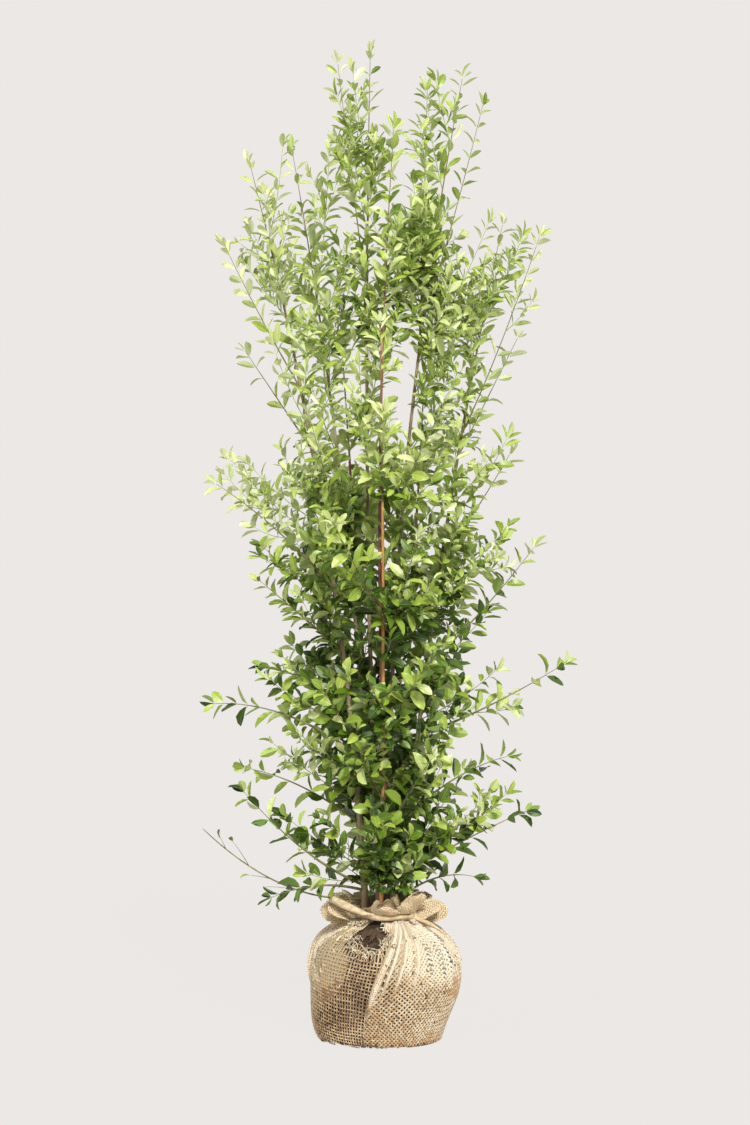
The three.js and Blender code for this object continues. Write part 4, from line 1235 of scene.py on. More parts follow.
def pleat_share(pleat, angle, height):
    """Runs from 0 beside a pleat to 1 on its ridge, steep on one side and soft on the other."""
    centre, down = pleat_line(pleat, height)
    aside = wrapped(angle - centre) * ball_radius(height)
    half = pleat["half"] * mix(PLEAT["narrow"], PLEAT["broad"], np.clip(down, 0, 1))
    steep = np.sign(pleat["top"] - pleat["foot"] + 0.5)
    half = np.where(aside * steep < 0, PLEAT["steep"] * half, half)
    beside = aside + steep * VALLEY["beside"] * pleat["half"] * VALLEY["half"]
    shape = bump(aside, half) - VALLEY["share"] * bump(beside, VALLEY["half"] * pleat["half"])
    return ease(down, *PLEAT["starts"]) * (1 - ease(down, *PLEAT["ends"])) * shape


def pleats_at(angle, height):
    total = sum(PLEAT["gain"] * pleat["size"] * pleat_share(pleat, angle, height) for pleat in PLEATS)
    gathers = np.sin(GATHER["count"] * angle + GATHER["uneven"] * np.sin(3 * angle))
    fade = np.clip((NECK_HEIGHT + GATHER["past"] - height) / GATHER["fade"], 0, 1)
    return total + GATHER["size"] * gathers * ease(height, GATHER["from"], GATHER["to"]) * fade


def ball_surface(angle, length):
    """A point of the cloth on the ball, by azimuth and by length up the cloth from the underside's rim."""
    height = height_on_ball(length)
    reach = ball_radius(height) + fold_at(angle, height) - spot_at(TEAR, angle, height)
    reach = reach + pleats_at(angle, height) + spots_at(SLUMPS, angle, height)
    return np.stack([reach * np.cos(angle), reach * np.sin(angle), height], -1)


def normals_of(surface, u, v, du, dv):
    across = surface(u + du, v) - surface(u - du, v)
    up = surface(u, v + dv) - surface(u, v - dv)
    return unit(np.cross(across, up) + TINY)


def in_hole(angle, height, ragged=0.0):
    across = wrapped(angle - math.radians(HOLE["azimuth"])) / math.radians(HOLE["half_angle"])
    up = (height - HOLE["height"]) / HOLE["half_height"]
    return across**2 + up**2 < 1 + ragged


def closed_at(angle, height):
    """How tightly the cloth is woven at a place, from 0 for open to 1 for closed."""
    total = spots_at(CLOSED_SPOTS, angle, height)
    ridges = [np.maximum(pleat_share(pleat, angle, height), 0) for pleat in PLEATS]
    total = total + sum(CLOSED["pleats"] * ridge for ridge in ridges)
    return np.clip(np.maximum(total, ease(height, *CLOSED["shoulder"])), 0, 1)


def tone_numbers(light):
    """The number of the plain yarn tone, from earth to pale, that is this light."""
    return np.clip(np.round(light), 0, TONE_NUMBER["pale"]).astype(int)


def yarn_tones(angle, height, points, chance):
    """Which tone each stretch of yarn has, from its place, its stains, chance and painted light: the pleats'
    ridges are painted lighter and the valleys beside them darker, and the ball's left is darkened by dirt and
    painted shade.
    """
    cloud = noise_at(points, 34) + 0.6 * noise_at(points, 9, 7.0)
    closed = closed_at(angle, height)
    stray = chance.normal(0, 1, angle.shape) * mix(*TONE_LIGHT["stray"], closed)
    # Painted highlight on the pleats' ridges and painted shade in the valleys beside them.
    ridge = sum(pleat_share(pleat, angle, height) for pleat in PLEATS)
    # The ball's left is darkened by dirt and painted shade.
    light = TONE_LIGHT["middle"] + TONE_LIGHT["closed"] * closed - spot_at(DIRT_AND_PAINTED_SHADE, angle, height)
    light = light + mix(*TONE_LIGHT["cloud"], closed) * cloud + TONE_LIGHT["ridge"] * ridge + stray
    numbers = tone_numbers(light)
    patchy = 0.5 + 0.35 * noise_at(points, 12, 3.0) + chance.normal(0, 0.12, angle.shape)
    for stain in STAINS:
        numbers = np.where(patchy < spot_at(stain, angle, height), TONE_NUMBER[stain["tone"]], numbers)
    return numbers


def both_ways(value):
    """The same for the yarns of both directions."""
    return value, value


def weave(build, points, normals, inside, widths, lift, numbers):
    """Yarns both ways through a grid of crossings, over and under each other. widths holds one grid for the
    yarns along the first axis and one for those along the second, and so do inside and numbers."""
    count, columns = inside[0].shape
    parity = 1 - 2 * ((np.arange(count)[:, None] + np.arange(columns)) % 2)
    index = np.arange(count * columns * 3).reshape(count, columns, 3)
    for family, over in enumerate((parity, -parity)):
        centres = points + normals * (lift * over)[..., None]
        along = unit(np.gradient(centres, axis=family) + TINY)
        side = unit(np.cross(along, normals) + TINY)
        kept = inside[family]
        ends = kept & ~(np.roll(kept, 1, family) & np.roll(kept, -1, family))
        half = (np.where(ends, YARN["end"], 1) * widths[family] / 2)[..., None]
        low = normals * YARN["thickness"] * YARN["below"]
        high = normals * YARN["thickness"] * YARN["above"]
        ring = np.stack([centres - side * half - low, centres + high, centres + side * half - low], 2)
        ring[..., 2] = np.maximum(ring[..., 2], YARN["lowest"])
        first, second = (slice(-1), slice(None)), (slice(1, None), slice(None))
        if family == 1:
            first, second = first[::-1], second[::-1]
        here, there, both = index[first], index[second], kept[first] & kept[second]
        quads = []
        for k in range(3):
            following = (k + 1) % 3
            corners = [here[..., k], here[..., following], there[..., following], there[..., k]]
            quads.append(np.stack(corners, -1)[both])
        used, quads = np.unique(np.concatenate(quads), return_inverse=True)
        dealt = np.tile(numbers[family][first][both], 3)
        build.add(ring.reshape(-1, 3)[used], [(quads.reshape(-1, 4), dealt)])


def border_at(number, height):
    return pleat_line(BORDERS[number], height)[0]


def crossings(patch, left, span):
    """The crossings of a patch of weave, as a slanted grid of azimuths and lengths up the cloth."""
    pitch = patch["pitch"]
    turn = math.radians(patch["turn"])
    reach = int((span * WAIST_RADIUS + NECK_LENGTH) / pitch * 0.62) + 6
    steps = np.arange(-reach, reach + 1) * pitch
    p, q = np.meshgrid(steps, steps, indexing="ij")
    x = p * math.cos(turn) - q * math.sin(turn)
    length = p * math.sin(turn) + q * math.cos(turn) + NECK_LENGTH / 2
    near = (length > -pitch) & (length < NECK_LENGTH + 2 * pitch)
    near &= np.abs(x) < (span / 2 + 0.7) * WAIST_RADIUS
    grid = np.ix_(near.any(1), near.any(0))
    x, length = x[grid], length[grid]
    place = np.stack([x, length, np.full(x.shape, patch["turn"])], -1)
    angle = left + span / 2 + x / WAIST_RADIUS + BENT["size"] * noise_at(place, BENT["wave"]) / WAIST_RADIUS
    return angle, length + BENT["size"] * noise_at(place, BENT["wave"], 31.0)


def weave_ball(build, chance):
    """The cloth of the ball in four widths of weave that meet under its largest pleats."""
    for patch in WEAVES:
        left = border_at(patch["from"], CLOTH["border_height"])
        right = border_at(patch["to"], CLOTH["border_height"])
        span = (right - left) % FULL_TURN
        angle, length = crossings(patch, left, span)
        height = height_on_ball(length)
        low = left + wrapped(border_at(patch["from"], height) - left)
        high = left + span + wrapped(border_at(patch["to"], height) - right)
        overlap = CLOTH["overlap"] / WAIST_RADIUS
        inside = (length >= CLOTH["margin"]) & (length <= NECK_LENGTH + CLOTH["above_neck"])
        inside &= (angle > low - overlap) & (angle < high + overlap)
        points = ball_surface(angle, np.clip(length, CLOTH["margin"], NECK_LENGTH - CLOTH["margin"]))
        torn = in_hole(angle, height, HOLE["ragged"] * noise_at(points, 9, 5.0))
        frayed = in_hole(angle, height - HOLE["fringe"], HOLE["ragged"] * noise_at(points, 4, 6.0) - 0.35)
        points[..., 2] += np.clip(length - NECK_LENGTH, 0, None)
        normals = normals_of(ball_surface, angle, np.clip(length, 1, NECK_LENGTH - 1), *CLOTH["steps"])
        closed = closed_at(angle, height)
        crowding = np.clip(ball_radius(height) / WAIST_RADIUS * CLOTH["crowding"], CLOTH["narrowest"], 1)
        width = patch["pitch"] * mix(patch["fill"], YARN["widest"], closed) * crowding
        lift = YARN["lift"] * mix(1, CLOTH["tight_lift"], closed)
        tones = [yarn_tones(angle, height, points, chance) for _ in range(2)]
        weave(build, points, normals, (inside & ~torn, inside & ~frayed), both_ways(width), lift, tones)


ROLL = {"rise": 3.4, "clearance": 0.2, "crease": 0.6, "crease_turn": 130, "sunk": -3.5, "sinks": (0.6, 1.1),
        "yarns": 9, "pitch": 4.2, "lift": 0.4}


def weave_roll(build, pleat, chance):
    """A rolled fold of cloth along a pleat, over the seam between two weaves."""

    def surface(aside, length):
        height = height_on_ball(np.clip(length, 0, NECK_LENGTH))
        line, down = pleat_line(pleat, height)
        half = pleat["roll"] * mix(0.6, 1, ease(down, 0, 0.35)) * mix(1, 0.7, ease(down, 0.75, 1.2))
        angle = line + aside * half / ball_radius(height)
        sunk = ease(down, *ROLL["sinks"])
        arch = ROLL["rise"] * (1 - sunk) * (1 - aside**2) + mix(ROLL["clearance"], ROLL["sunk"], sunk)
        crease = np.cos(3 * math.pi * aside + length / ROLL["crease_turn"])
        arch = arch + ROLL["crease"] * crease * (1 - aside**2)
        length = np.clip(length, CLOTH["margin"], NECK_LENGTH - CLOTH["margin"])
        normals = normals_of(ball_surface, angle, length, 0.03, 4)
        return ball_surface(angle, length) + arch[..., None] * normals

    across = np.linspace(-1, 1, ROLL["yarns"])
    run = np.arange(1.0, NECK_LENGTH - 2, ROLL["pitch"])
    aside, length = np.meshgrid(across, run, indexing="ij")
    points = surface(aside, length)
    normals = normals_of(surface, aside, length, 0.05, 0.8)
    spacing = np.linalg.norm(np.gradient(points, axis=0), axis=-1)
    level = np.full(spacing.shape, ROLL["pitch"])
    angle = np.arctan2(points[..., 1], points[..., 0])
    tones = [yarn_tones(angle, height_on_ball(length), points, chance) for _ in range(2)]
    everywhere = np.ones(spacing.shape, bool)
    lift = np.full(spacing.shape, ROLL["lift"])
    weave(build, points, normals, both_ways(everywhere), (level, spacing), lift, tones)


OVERHANGS = table_of(
    "from to reach drop puff",
    (-164, -120, 88, 22, 6),
    (-44, -8, 90, 24, 4),
    (34, 70, 86, 16, 8),
    (118, 156, 90, 18, 9),
)
OVERHANG = {"pitch": 4.6, "fill": 0.84, "widest": 1.2, "lift": 0.5, "tone_height": 214.0, "fray": 0.08}


def weave_overhang(build, fold, chance):
    """A crumpled edge of cloth that comes out from under the tie and hangs over the shoulder."""

    def surface(angle, share):
        crumple = 2.6 * np.sin(17 * angle + 3 * share) + 1.5 * np.sin(31 * angle + 5 * share)
        reach = mix(TIE["reach"] - 2, fold["reach"], share**0.85) + share * crumple
        rise = TIE["height"] - 3 - fold["drop"] * share**1.7
        rise = rise + fold["puff"] * np.sin(math.pi * np.clip(share, 0, 1))
        rise = rise + share * 2.4 * np.sin(23 * angle + 2)
        return np.stack([reach * np.cos(angle), reach * np.sin(angle), rise], -1)

    low, high = math.radians(fold["from"]), math.radians(fold["to"])
    columns = int((high - low) * fold["reach"] * 0.8 / OVERHANG["pitch"])
    count = int((fold["reach"] - TIE["reach"]) * 1.25 / OVERHANG["pitch"])
    angle, share = np.meshgrid(np.linspace(low, high, columns), np.linspace(0, 1.15, count), indexing="ij")
    taper = np.clip(1.3 - np.abs(angle - (low + high) / 2) / (high - low) * 1.9, 0, 1)
    inside = share <= (0.35 + 0.75 * taper) * (1 + OVERHANG["fray"] * chance.normal(0, 1, share.shape))
    points = surface(angle, share)
    normals = normals_of(surface, angle, share, 0.01, 0.03)
    level = np.full(share.shape, OVERHANG["pitch"] * OVERHANG["fill"])
    spacing = np.linalg.norm(np.gradient(points, axis=0), axis=-1) * OVERHANG["fill"]
    upright = np.minimum(spacing, level * OVERHANG["widest"])
    tone_height = np.full(angle.shape, OVERHANG["tone_height"])
    tones = [yarn_tones(angle, tone_height, points, chance) for _ in range(2)]
    lift = np.full(share.shape, OVERHANG["lift"])
    weave(build, points, normals, both_ways(inside), (level, upright), lift, tones)


# The collar over the tie

COLLAR_FULL = {"lobe": 0.7, "rise": 3, "share": 0.5}
COLLAR_WEAVE = {"columns": 190, "pitch": 3.7, "fill": 0.86, "fray": 0.05, "past_edge": 1.35, "lift": 0.8,
                "steps": (0.006, 0.02)}
INNER_COLLAR = {"turn": 0.42, "reach": 0.72, "inside": 0.03, "lower": 4}
FLAPS = table_of(
    "azimuth reach top half twist puff",
    (-48, 90, 297, 37, 4, 9),
    (-90, 79, 275, 28, -6, 9),
    (-20, 112, 272, 22, 52, 7),
    (-7, 124, 254, 24, 76, 6),
    (186, 126, 254, 26, -76, 7),
    (200, 114, 268, 24, -52, 7),
    (162, 112, 286, 28, -20, 8),
    (-126, 82, 262, 22, -14, 7),
    (118, 92, 284, 32, 8, 9),
    (76, 88, 290, 32, -8, 9),
    (34, 100, 284, 32, 10, 9),
)
FLAP = {"pitch": 3.8, "fray": 1.6, "end": 1.02, "foot": 0.55, "broad": 0.5, "round": 0.42, "lining": 0.96}


def lobe_edge(angle):
    """Reach and height of the collar's edge: the lobes of the solids, with rounder sides."""
    reach = np.full(np.shape(angle), float(COLLAR_EDGE["reach"]))
    height = np.full(np.shape(angle), float(COLLAR_EDGE["height"] + COLLAR_FULL["rise"]))
    for lobe in LOBES:
        turn = wrapped(angle - math.radians(lobe["azimuth"])) / math.radians(lobe["half"])
        rise = np.cos(np.clip(np.abs(turn), 0, 1) * math.pi / 2) ** COLLAR_FULL["lobe"]
        reach = np.maximum(reach, mix(COLLAR_EDGE["reach"], lobe["reach"], rise * COLLAR_FULL["share"]))
        height = np.maximum(height, mix(COLLAR_EDGE["height"], lobe["height"], rise))
    return reach, height


def collar_surface(angle, share):
    """The middle of the collar's cloth, with ruffles that grow towards its edge."""
    reach, height = lobe_edge(angle)
    foot = NECK_RADIUS + COLLAR_FOOT["clearance"] + COLLAR_THICKNESS / 2
    share = np.maximum(share, 0)
    inner = np.clip(1 - share, 0, 1)
    out = mix(foot, reach, share ** COLLAR_CURVE["out"])
    up = mix(height, COLLAR_FOOT["height"], inner ** COLLAR_CURVE["up"])
    up = up + (share > 1) * (share - 1) * 6
    ruffle = share**1.2
    out = out + ruffle * (3.6 * np.sin(9 * angle + 2.2) + 1.4 * np.sin(22 * angle))
    up = up + ruffle * (3.4 * np.sin(9 * angle + 0.7) + 1.5 * np.sin(17 * angle + 2))
    return np.stack([out * np.cos(angle), out * np.sin(angle), up], -1)


def inner_collar_surface(angle, share):
    """A second fold of cloth inside the first, narrower and a little lower."""
    points = collar_surface(angle + INNER_COLLAR["turn"], share)
    turn = -INNER_COLLAR["turn"]
    reach = mix(1, INNER_COLLAR["reach"], np.clip(share, 0, 1)) - INNER_COLLAR["inside"]
    x = points[..., 0] * math.cos(turn) - points[..., 1] * math.sin(turn)
    y = points[..., 0] * math.sin(turn) + points[..., 1] * math.cos(turn)
    return np.stack([x * reach, y * reach, points[..., 2] - INNER_COLLAR["lower"] * np.clip(share, 0, 1)], -1)


COLLAR_SURFACES = (collar_surface, inner_collar_surface)


def collar_length(surface, angle):
    points = surface(angle[..., None], np.linspace(0, 1, 14))
    return np.linalg.norm(np.diff(points, axis=-2), axis=-1).sum(-1)


def collar_tones(light):
    """The collar's light yarns are all straw, a warmer tone than the ball's cream, as painted light on cloth
    that the foliage shades.
    """
    numbers = tone_numbers(light)
    return np.where(numbers >= TONE_NUMBER["cream"], TONE_NUMBER["straw"], numbers)


def weave_collar(build, surface, chance):
    angle = np.arange(COLLAR_WEAVE["columns"] + 1) * FULL_TURN / COLLAR_WEAVE["columns"]
    reach = collar_length(surface, angle)
    count = int(reach.max() / COLLAR_WEAVE["pitch"]) + 3
    share = (np.arange(count) * COLLAR_WEAVE["pitch"])[None, :] / reach[:, None]
    angle = np.broadcast_to(angle[:, None], share.shape)
    inside = share <= 1 + COLLAR_WEAVE["fray"] * chance.normal(0, 1, share.shape)
    share = np.minimum(share, COLLAR_WEAVE["past_edge"])
    points = surface(angle, share)
    normals = normals_of(surface, angle, share, *COLLAR_WEAVE["steps"])
    spacing = np.hypot(points[..., 0], points[..., 1]) * FULL_TURN / COLLAR_WEAVE["columns"]
    upright = spacing * COLLAR_WEAVE["fill"]
    level = np.full(spacing.shape, COLLAR_WEAVE["pitch"] * COLLAR_WEAVE["fill"])
    lift = np.full(spacing.shape, YARN["lift"] * COLLAR_WEAVE["lift"])
    # The collar's yarns are painted lighter than the ball's, as painted light on cloth that the foliage
    # shades.
    cloud = 4.0 + 0.9 * noise_at(points, 22, 4.0)
    tones = [collar_tones(cloud + chance.normal(0, 0.5, cloud.shape)) for _ in range(2)]
    weave(build, points, normals, both_ways(inside), (level, upright), lift, tones)


def flap_frame(flap):
    """Foot, length and the three directions of a flap: along it, across it and out of its face."""
    foot = round_point(flap["azimuth"], NECK_RADIUS + 2, TIE["height"] + 3)
    tip = round_point(flap["azimuth"], flap["reach"], flap["top"])
    along = unit(tip - foot)
    across = turned(unit(np.cross(UP, along)), along, math.radians(flap["twist"]))
    return foot, np.linalg.norm(tip - foot), along, across, np.cross(across, along)


def flap_half(flap, share):
    """Half a flap's width, from a narrow foot to a round end."""
    end = np.clip((share - FLAP["round"]) / (1 - FLAP["round"]), 0, 1)
    return flap["half"] * mix(FLAP["foot"], 1, ease(share, 0, FLAP["broad"])) * np.sqrt(1 - end**2)


def flap_surface(flap):
    foot, length, along, across, face = flap_frame(flap)
    phase = flap["azimuth"]

    def surface(x, y):
        share = np.clip(y / length, 0, 1.1)
        rise = flap["puff"] * (1 - (x / flap["half"]) ** 2) * np.sin(0.8 * math.pi * share) + 5 * share**3
        rise = rise + 1.9 * share * np.sin(x / 4.6 + phase) + 1.5 * np.sin(y / 6.0 + x / 12 + 2 * phase)
        return foot + x[..., None] * across + y[..., None] * along + rise[..., None] * face

    return surface


def weave_flap(build, flap, chance):
    """A lobe of the collar: crumpled cloth that stands out from the neck, with a round, frayed end."""
    surface = flap_surface(flap)
    length = flap_frame(flap)[1]
    pitch = FLAP["pitch"]
    across = np.arange(-flap["half"], flap["half"] + pitch, pitch)
    x, y = np.meshgrid(across, np.arange(0, length + pitch, pitch), indexing="ij")
    share = y / length
    stray = FLAP["fray"] * chance.normal(0, 1, x.shape)
    inside = (np.abs(x) < flap_half(flap, share) + stray) & (share < FLAP["end"])
    points = surface(x, y)
    normals = normals_of(surface, x, y, 1.0, 1.0)
    width = np.full(x.shape, pitch * COLLAR_WEAVE["fill"])
    # The flap's yarns are painted lighter than the ball's, and lighter still towards its end, as painted
    # light on cloth that the foliage shades.
    light = 3.4 + 1.3 * np.clip(share, 0, 1) + 0.8 * noise_at(points, 14, 4.0)
    tones = [collar_tones(light + 0.3 * chance.normal(0, 1, x.shape)) for _ in range(2)]
    lift = np.full(x.shape, YARN["lift"] * COLLAR_WEAVE["lift"])
    weave(build, points, normals, both_ways(inside), both_ways(width), lift, tones)


# The lining: plain cloth behind the yarns, which closes the gaps between them

LINING_TONES = [("shade", (84, 65, 44)), ("brown", (122, 95, 64)), ("tan", (176, 154, 118)),
                ("beige", (214, 196, 160)), ("cream", (230, 216, 186)), ("straw", (222, 201, 162))]
LINING_LOOK = {"scale": 60, "roughness": 0.95, "relief": 0.6, "relief_scale": 700}
LINING_NUMBER = {name: number for number, (name, _) in enumerate(LINING_TONES)}
LINING = {"columns": 260, "rows": 84, "collar_rows": 12, "flap_rows": 22, "behind": 1.5, "behind_tear": 6.0,
          "open_below": 0.22, "open_azimuth": -1.95, "open_half": 0.75, "darker": 0.86}


def cloth_sheet(build, surface, angles, shares, sink, inside, number, steps):
    """A plain sheet that follows a surface, sunk behind it, where inside holds."""
    u, v = np.meshgrid(angles, shares, indexing="ij")
    points = surface(u, v) - sink * normals_of(surface, u, v, *steps)
    index = np.arange(u.size).reshape(u.shape)
    quads = np.stack([index[:-1, :-1], index[1:, :-1], index[1:, 1:], index[:-1, 1:]], -1)
    middle_u = (u[:-1, :-1] + u[1:, 1:]) / 2
    middle_v = (v[:-1, :-1] + v[1:, 1:]) / 2
    kept = inside(middle_u, middle_v)
    used, corners = np.unique(quads[kept], return_inverse=True)
    build.add(points.reshape(-1, 3)[used], [(corners.reshape(-1, 4), number(middle_u, middle_v)[kept])])


def everywhere(u, v):
    return np.ones(u.shape, bool)


def one_tone(name):
    return lambda u, v: np.full(u.shape, LINING_NUMBER[name])


def make_lining():
    chance = np.random.default_rng(SEED + SEEDS["lining"])

    def number(angle, length):
        # Darker where the weave is open, for the soil and the painted shade seen through its gaps.
        light = 1.1 + 3.2 * closed_at(angle, height_on_ball(length)) + 0.35 * chance.normal(0, 1, angle.shape)
        return np.clip(np.round(light), 0, LINING_NUMBER["cream"]).astype(int)

    def inside(angle, length):
        height = height_on_ball(length)
        beside = np.abs(wrapped(angle - LINING["open_azimuth"]))
        open_zone = (closed_at(angle, height) < LINING["open_below"]) & (beside < LINING["open_half"])
        return ~in_hole(angle, height, 0.15) & ~open_zone

    # Inner cloth behind the tear's upper half, dark as painted shade.
    def behind_tear(angle, length):
        height = height_on_ball(length)
        edge = HOLE["height"] + 6 + 6 * np.sin(31 * angle) + 3 * np.sin(77 * angle)
        return in_hole(angle, height, 0.6) & (height > edge)

    build = Build()
    angles = np.linspace(0, FULL_TURN, LINING["columns"] + 1)
    lengths = np.linspace(CLOTH["margin"], NECK_LENGTH - CLOTH["margin"], LINING["rows"])
    ball = (build, ball_surface, angles, lengths)
    cloth_sheet(*ball, LINING["behind"], inside, number, CLOTH["steps"])
    cloth_sheet(*ball, LINING["behind_tear"], behind_tear, one_tone("shade"), CLOTH["steps"])
    shares = np.linspace(0, 1, LINING["collar_rows"])
    for surface in COLLAR_SURFACES:
        cloth_sheet(build, surface, angles, shares, 0.0, everywhere, one_tone("straw"), COLLAR_WEAVE["steps"])
    for flap in FLAPS:
        length = flap_frame(flap)[1]
        across = np.linspace(-flap["half"], flap["half"], LINING["flap_rows"])
        along = np.linspace(0, length * 0.98, LINING["flap_rows"])
        cloth_sheet(build, flap_surface(flap), across, along, 0.0,
                    lambda u, v: np.abs(u) < FLAP["lining"] * flap_half(flap, v / length),
                    one_tone("straw"), (1, 1))
    materials = []
    for name, rgb in LINING_TONES:
        tones = [(0.35, tuple(LINING["darker"] * part for part in rgb)), (0.65, rgb)]
        materials.append(mottled_material("lining_" + name, tones, **LINING_LOOK))
    return dressed(build.piece("burlap_lining", materials), "burlap", "root_ball")


def make_burlap():
    chance = np.random.default_rng(SEED)
    materials = [plain_material("yarn_" + name, rgb, 0.92, Sheen_Weight=0.25) for name, rgb in YARN_TONES]
    build = Build()
    weave_ball(build, chance)
    for pleat in PLEATS:
        if pleat["roll"]:
            weave_roll(build, pleat, chance)
    for fold in OVERHANGS:
        weave_overhang(build, fold, chance)
    dressed(build.piece("burlap_weave", materials), "burlap", "root_ball")
    build = Build()
    for surface in COLLAR_SURFACES:
        weave_collar(build, surface, chance)
    for flap in FLAPS:
        weave_flap(build, flap, chance)
    dressed(build.piece("burlap_collar_weave", materials), "burlap", "burlap_collar")
    make_lining()
    build = Build()
    fray_edges(build)
    dressed(build.piece("burlap_frayed_ends", materials), "burlap", "root_ball")
    make_soil()
    make_tie()


# Loose yarns, which take their tones from the numbers of the yarns

STRAND = {"steps": 9, "sides": 4, "droop": 0.05, "taper": 0.45}
TEAR_FRAY = {"count": 90, "around": (165, 375), "inward": (0.75, 1.0), "outwards": (0, 0.3), "curl": (2, 9),
             "length": (12, 52), "radius": (0.5, 1.1), "tones": [2, 3, 4, 4, 5]}
EDGE_FRAY = {"count": 190, "inner": 0.85, "curl": (-2, 2), "length": (3, 11), "radius": (0.25, 0.7),
             "tones": [2, 3, 4]}
BALL_FRAY = {"count": 240, "curl": (-3, 3), "length": (4, 12), "radius": 0.22, "tones": [2, 3, 4, 5]}


def curved_strand(build, start, heading, length, curl, radius, number, chance):
    """A loose end of yarn that curls as it goes."""
    points = [start]
    direction = unit(heading)
    axis = unit(stray_vector(chance))
    steps = STRAND["steps"]
    for _ in range(steps):
        direction = unit(turned(direction, axis, curl / steps) - UP * STRAND["droop"])
        points.append(points[-1] + direction * length / steps)
    points = np.array(points)
    points[:, 2] = np.maximum(points[:, 2], YARN["lowest"] + radius)
    radii = np.linspace(radius, radius * STRAND["taper"], steps + 1)
    tube(build, points, round_section(radii, STRAND["sides"]), number, reference=axis)


def fray_edges(build):
    """Loose yarns round the tear, along the collar's edge and here and there on the ball."""
    chance = random.Random(SEED + SEEDS["fray"])
    middle = ball_surface(np.array(math.radians(HOLE["azimuth"])), length_on_ball(HOLE["height"] - 4))
    fray = TEAR_FRAY
    for _ in range(fray["count"]):
        around = chance.uniform(*(math.radians(angle) for angle in fray["around"]))
        inward = chance.uniform(*fray["inward"])
        angle = math.radians(HOLE["azimuth"] + inward * HOLE["half_angle"] * math.cos(around))
        height = HOLE["height"] + inward * HOLE["half_height"] * math.sin(around)
        start = ball_surface(np.array(angle), length_on_ball(min(height, NECK_HEIGHT - 6)))
        stray = np.array([chance.gauss(0, 1), 0, chance.gauss(0, 0.6)])
        outwards = unit(start * LEVEL) * chance.uniform(*fray["outwards"])
        heading = 0.7 * unit(middle - start) + 0.2 * UP + outwards + 0.5 * stray
        curl = chance.choice([-1, 1]) * chance.uniform(*fray["curl"])
        curved_strand(build, start, heading, chance.uniform(*fray["length"]), curl,
                      chance.uniform(*fray["radius"]), chance.choice(fray["tones"]), chance)
    fray = EDGE_FRAY
    for _ in range(fray["count"]):
        angle = np.array(chance.uniform(0, FULL_TURN))
        edge = collar_surface(angle, np.array(1.0))
        heading = unit(edge - collar_surface(angle, np.array(fray["inner"]))) + 0.45 * stray_vector(chance)
        length = chance.uniform(*fray["length"])
        curved_strand(build, edge, heading, length, chance.uniform(*fray["curl"]),
                      chance.uniform(*fray["radius"]), chance.choice(fray["tones"]), chance)
    fray = BALL_FRAY
    for _ in range(fray["count"]):
        angle, length = chance.uniform(0, FULL_TURN), chance.uniform(5, NECK_LENGTH - 30)
        start = ball_surface(np.array(angle), np.array(length))
        if in_hole(angle, start[2], 0.4):
            continue
        heading = unit(start * LEVEL) * 0.6 + stray_vector(chance)
        length = chance.uniform(*fray["length"])
        curved_strand(build, start, heading, length, chance.uniform(*fray["curl"]), fray["radius"],
                      chance.choice(fray["tones"]), chance)


# The soil: level rings underneath, the sides behind the cloth, and level rings on top round the stems' feet

SOIL = {"columns": 180, "rows": 76, "behind": 4.6, "bottom": 0.8, "bottom_rings": (30, 70, 105), "top": 252.4,
        "top_rings": ((45, 238), (45.5, 245), (44, 249), (36, 250.5), (27, 251.5), (17, 252), (8, 252.3)),
        "flat_above": 246, "flat_share": 0.7, "lumps": ((2.3, 15, 1.0), (1.1, 5, 2.0))}
HOLLOW = {"azimuth": HOLE["azimuth"], "height": HOLE["height"] - 6, "wide": 17, "tall": 24, "much": 12}


def make_soil():
    """The ball of soil under the cloth, rough and dark, up to its top round the stems' feet."""
    columns = SOIL["columns"]
    angle = np.arange(columns) * FULL_TURN / columns
    u, v = np.meshgrid(angle, np.linspace(2, NECK_LENGTH - 4, SOIL["rows"]), indexing="ij")
    side = ball_surface(u, v) - SOIL["behind"] * normals_of(ball_surface, u, v, 0.02, 3)
    side = side - unit(side * LEVEL) * spot_at(HOLLOW, u, side[..., 2])[..., None]
    ring = np.stack([np.cos(angle), np.sin(angle)], -1)

    def level(reach, height):
        return np.concatenate([reach * ring, np.full((columns, 1), float(height))], 1)

    bottom = [level(reach, SOIL["bottom"]) for reach in SOIL["bottom_rings"]]
    top = [level(*place) for place in SOIL["top_rings"]]
    grid = np.stack([*bottom, *side.transpose(1, 0, 2), *top], 1)
    lumps = sum(size * noise_at(grid, wave, seed) for size, wave, seed in SOIL["lumps"])
    lumps[:, :len(bottom)] = 0
    flat = (grid[..., 2] > SOIL["flat_above"])[..., None]
    grid = grid + np.where(flat, UP * SOIL["flat_share"], unit(grid * LEVEL + 1e-6)) * lumps[..., None]
    count = grid.shape[1]
    index = np.arange(columns * count).reshape(columns, count)
    there = np.roll(index, -1, axis=0)
    quads = np.stack([index[:, :-1], there[:, :-1], there[:, 1:], index[:, 1:]], -1).reshape(-1, 4)
    points = np.concatenate([grid.reshape(-1, 3), [[0, 0, SOIL["bottom"]], [0, 0, SOIL["top"]]]])
    low = np.stack([np.full(columns, columns * count), there[:, 0], index[:, 0]], -1)
    high = np.stack([np.full(columns, columns * count + 1), index[:, -1], there[:, -1]], -1)
    tones = [(0.3, (37, 27, 18)), (0.5, (60, 45, 31)), (0.7, (88, 67, 46))]
    soil = mottled_material("soil", tones, 45, 1.0, relief=1.0, relief_scale=260)
    build = Build()
    build.add(points, [(quads, 0), (low, 0), (high, 0)])
    return dressed(build.piece("soil_core", [soil]), "burlap", "root_ball")


# The tie

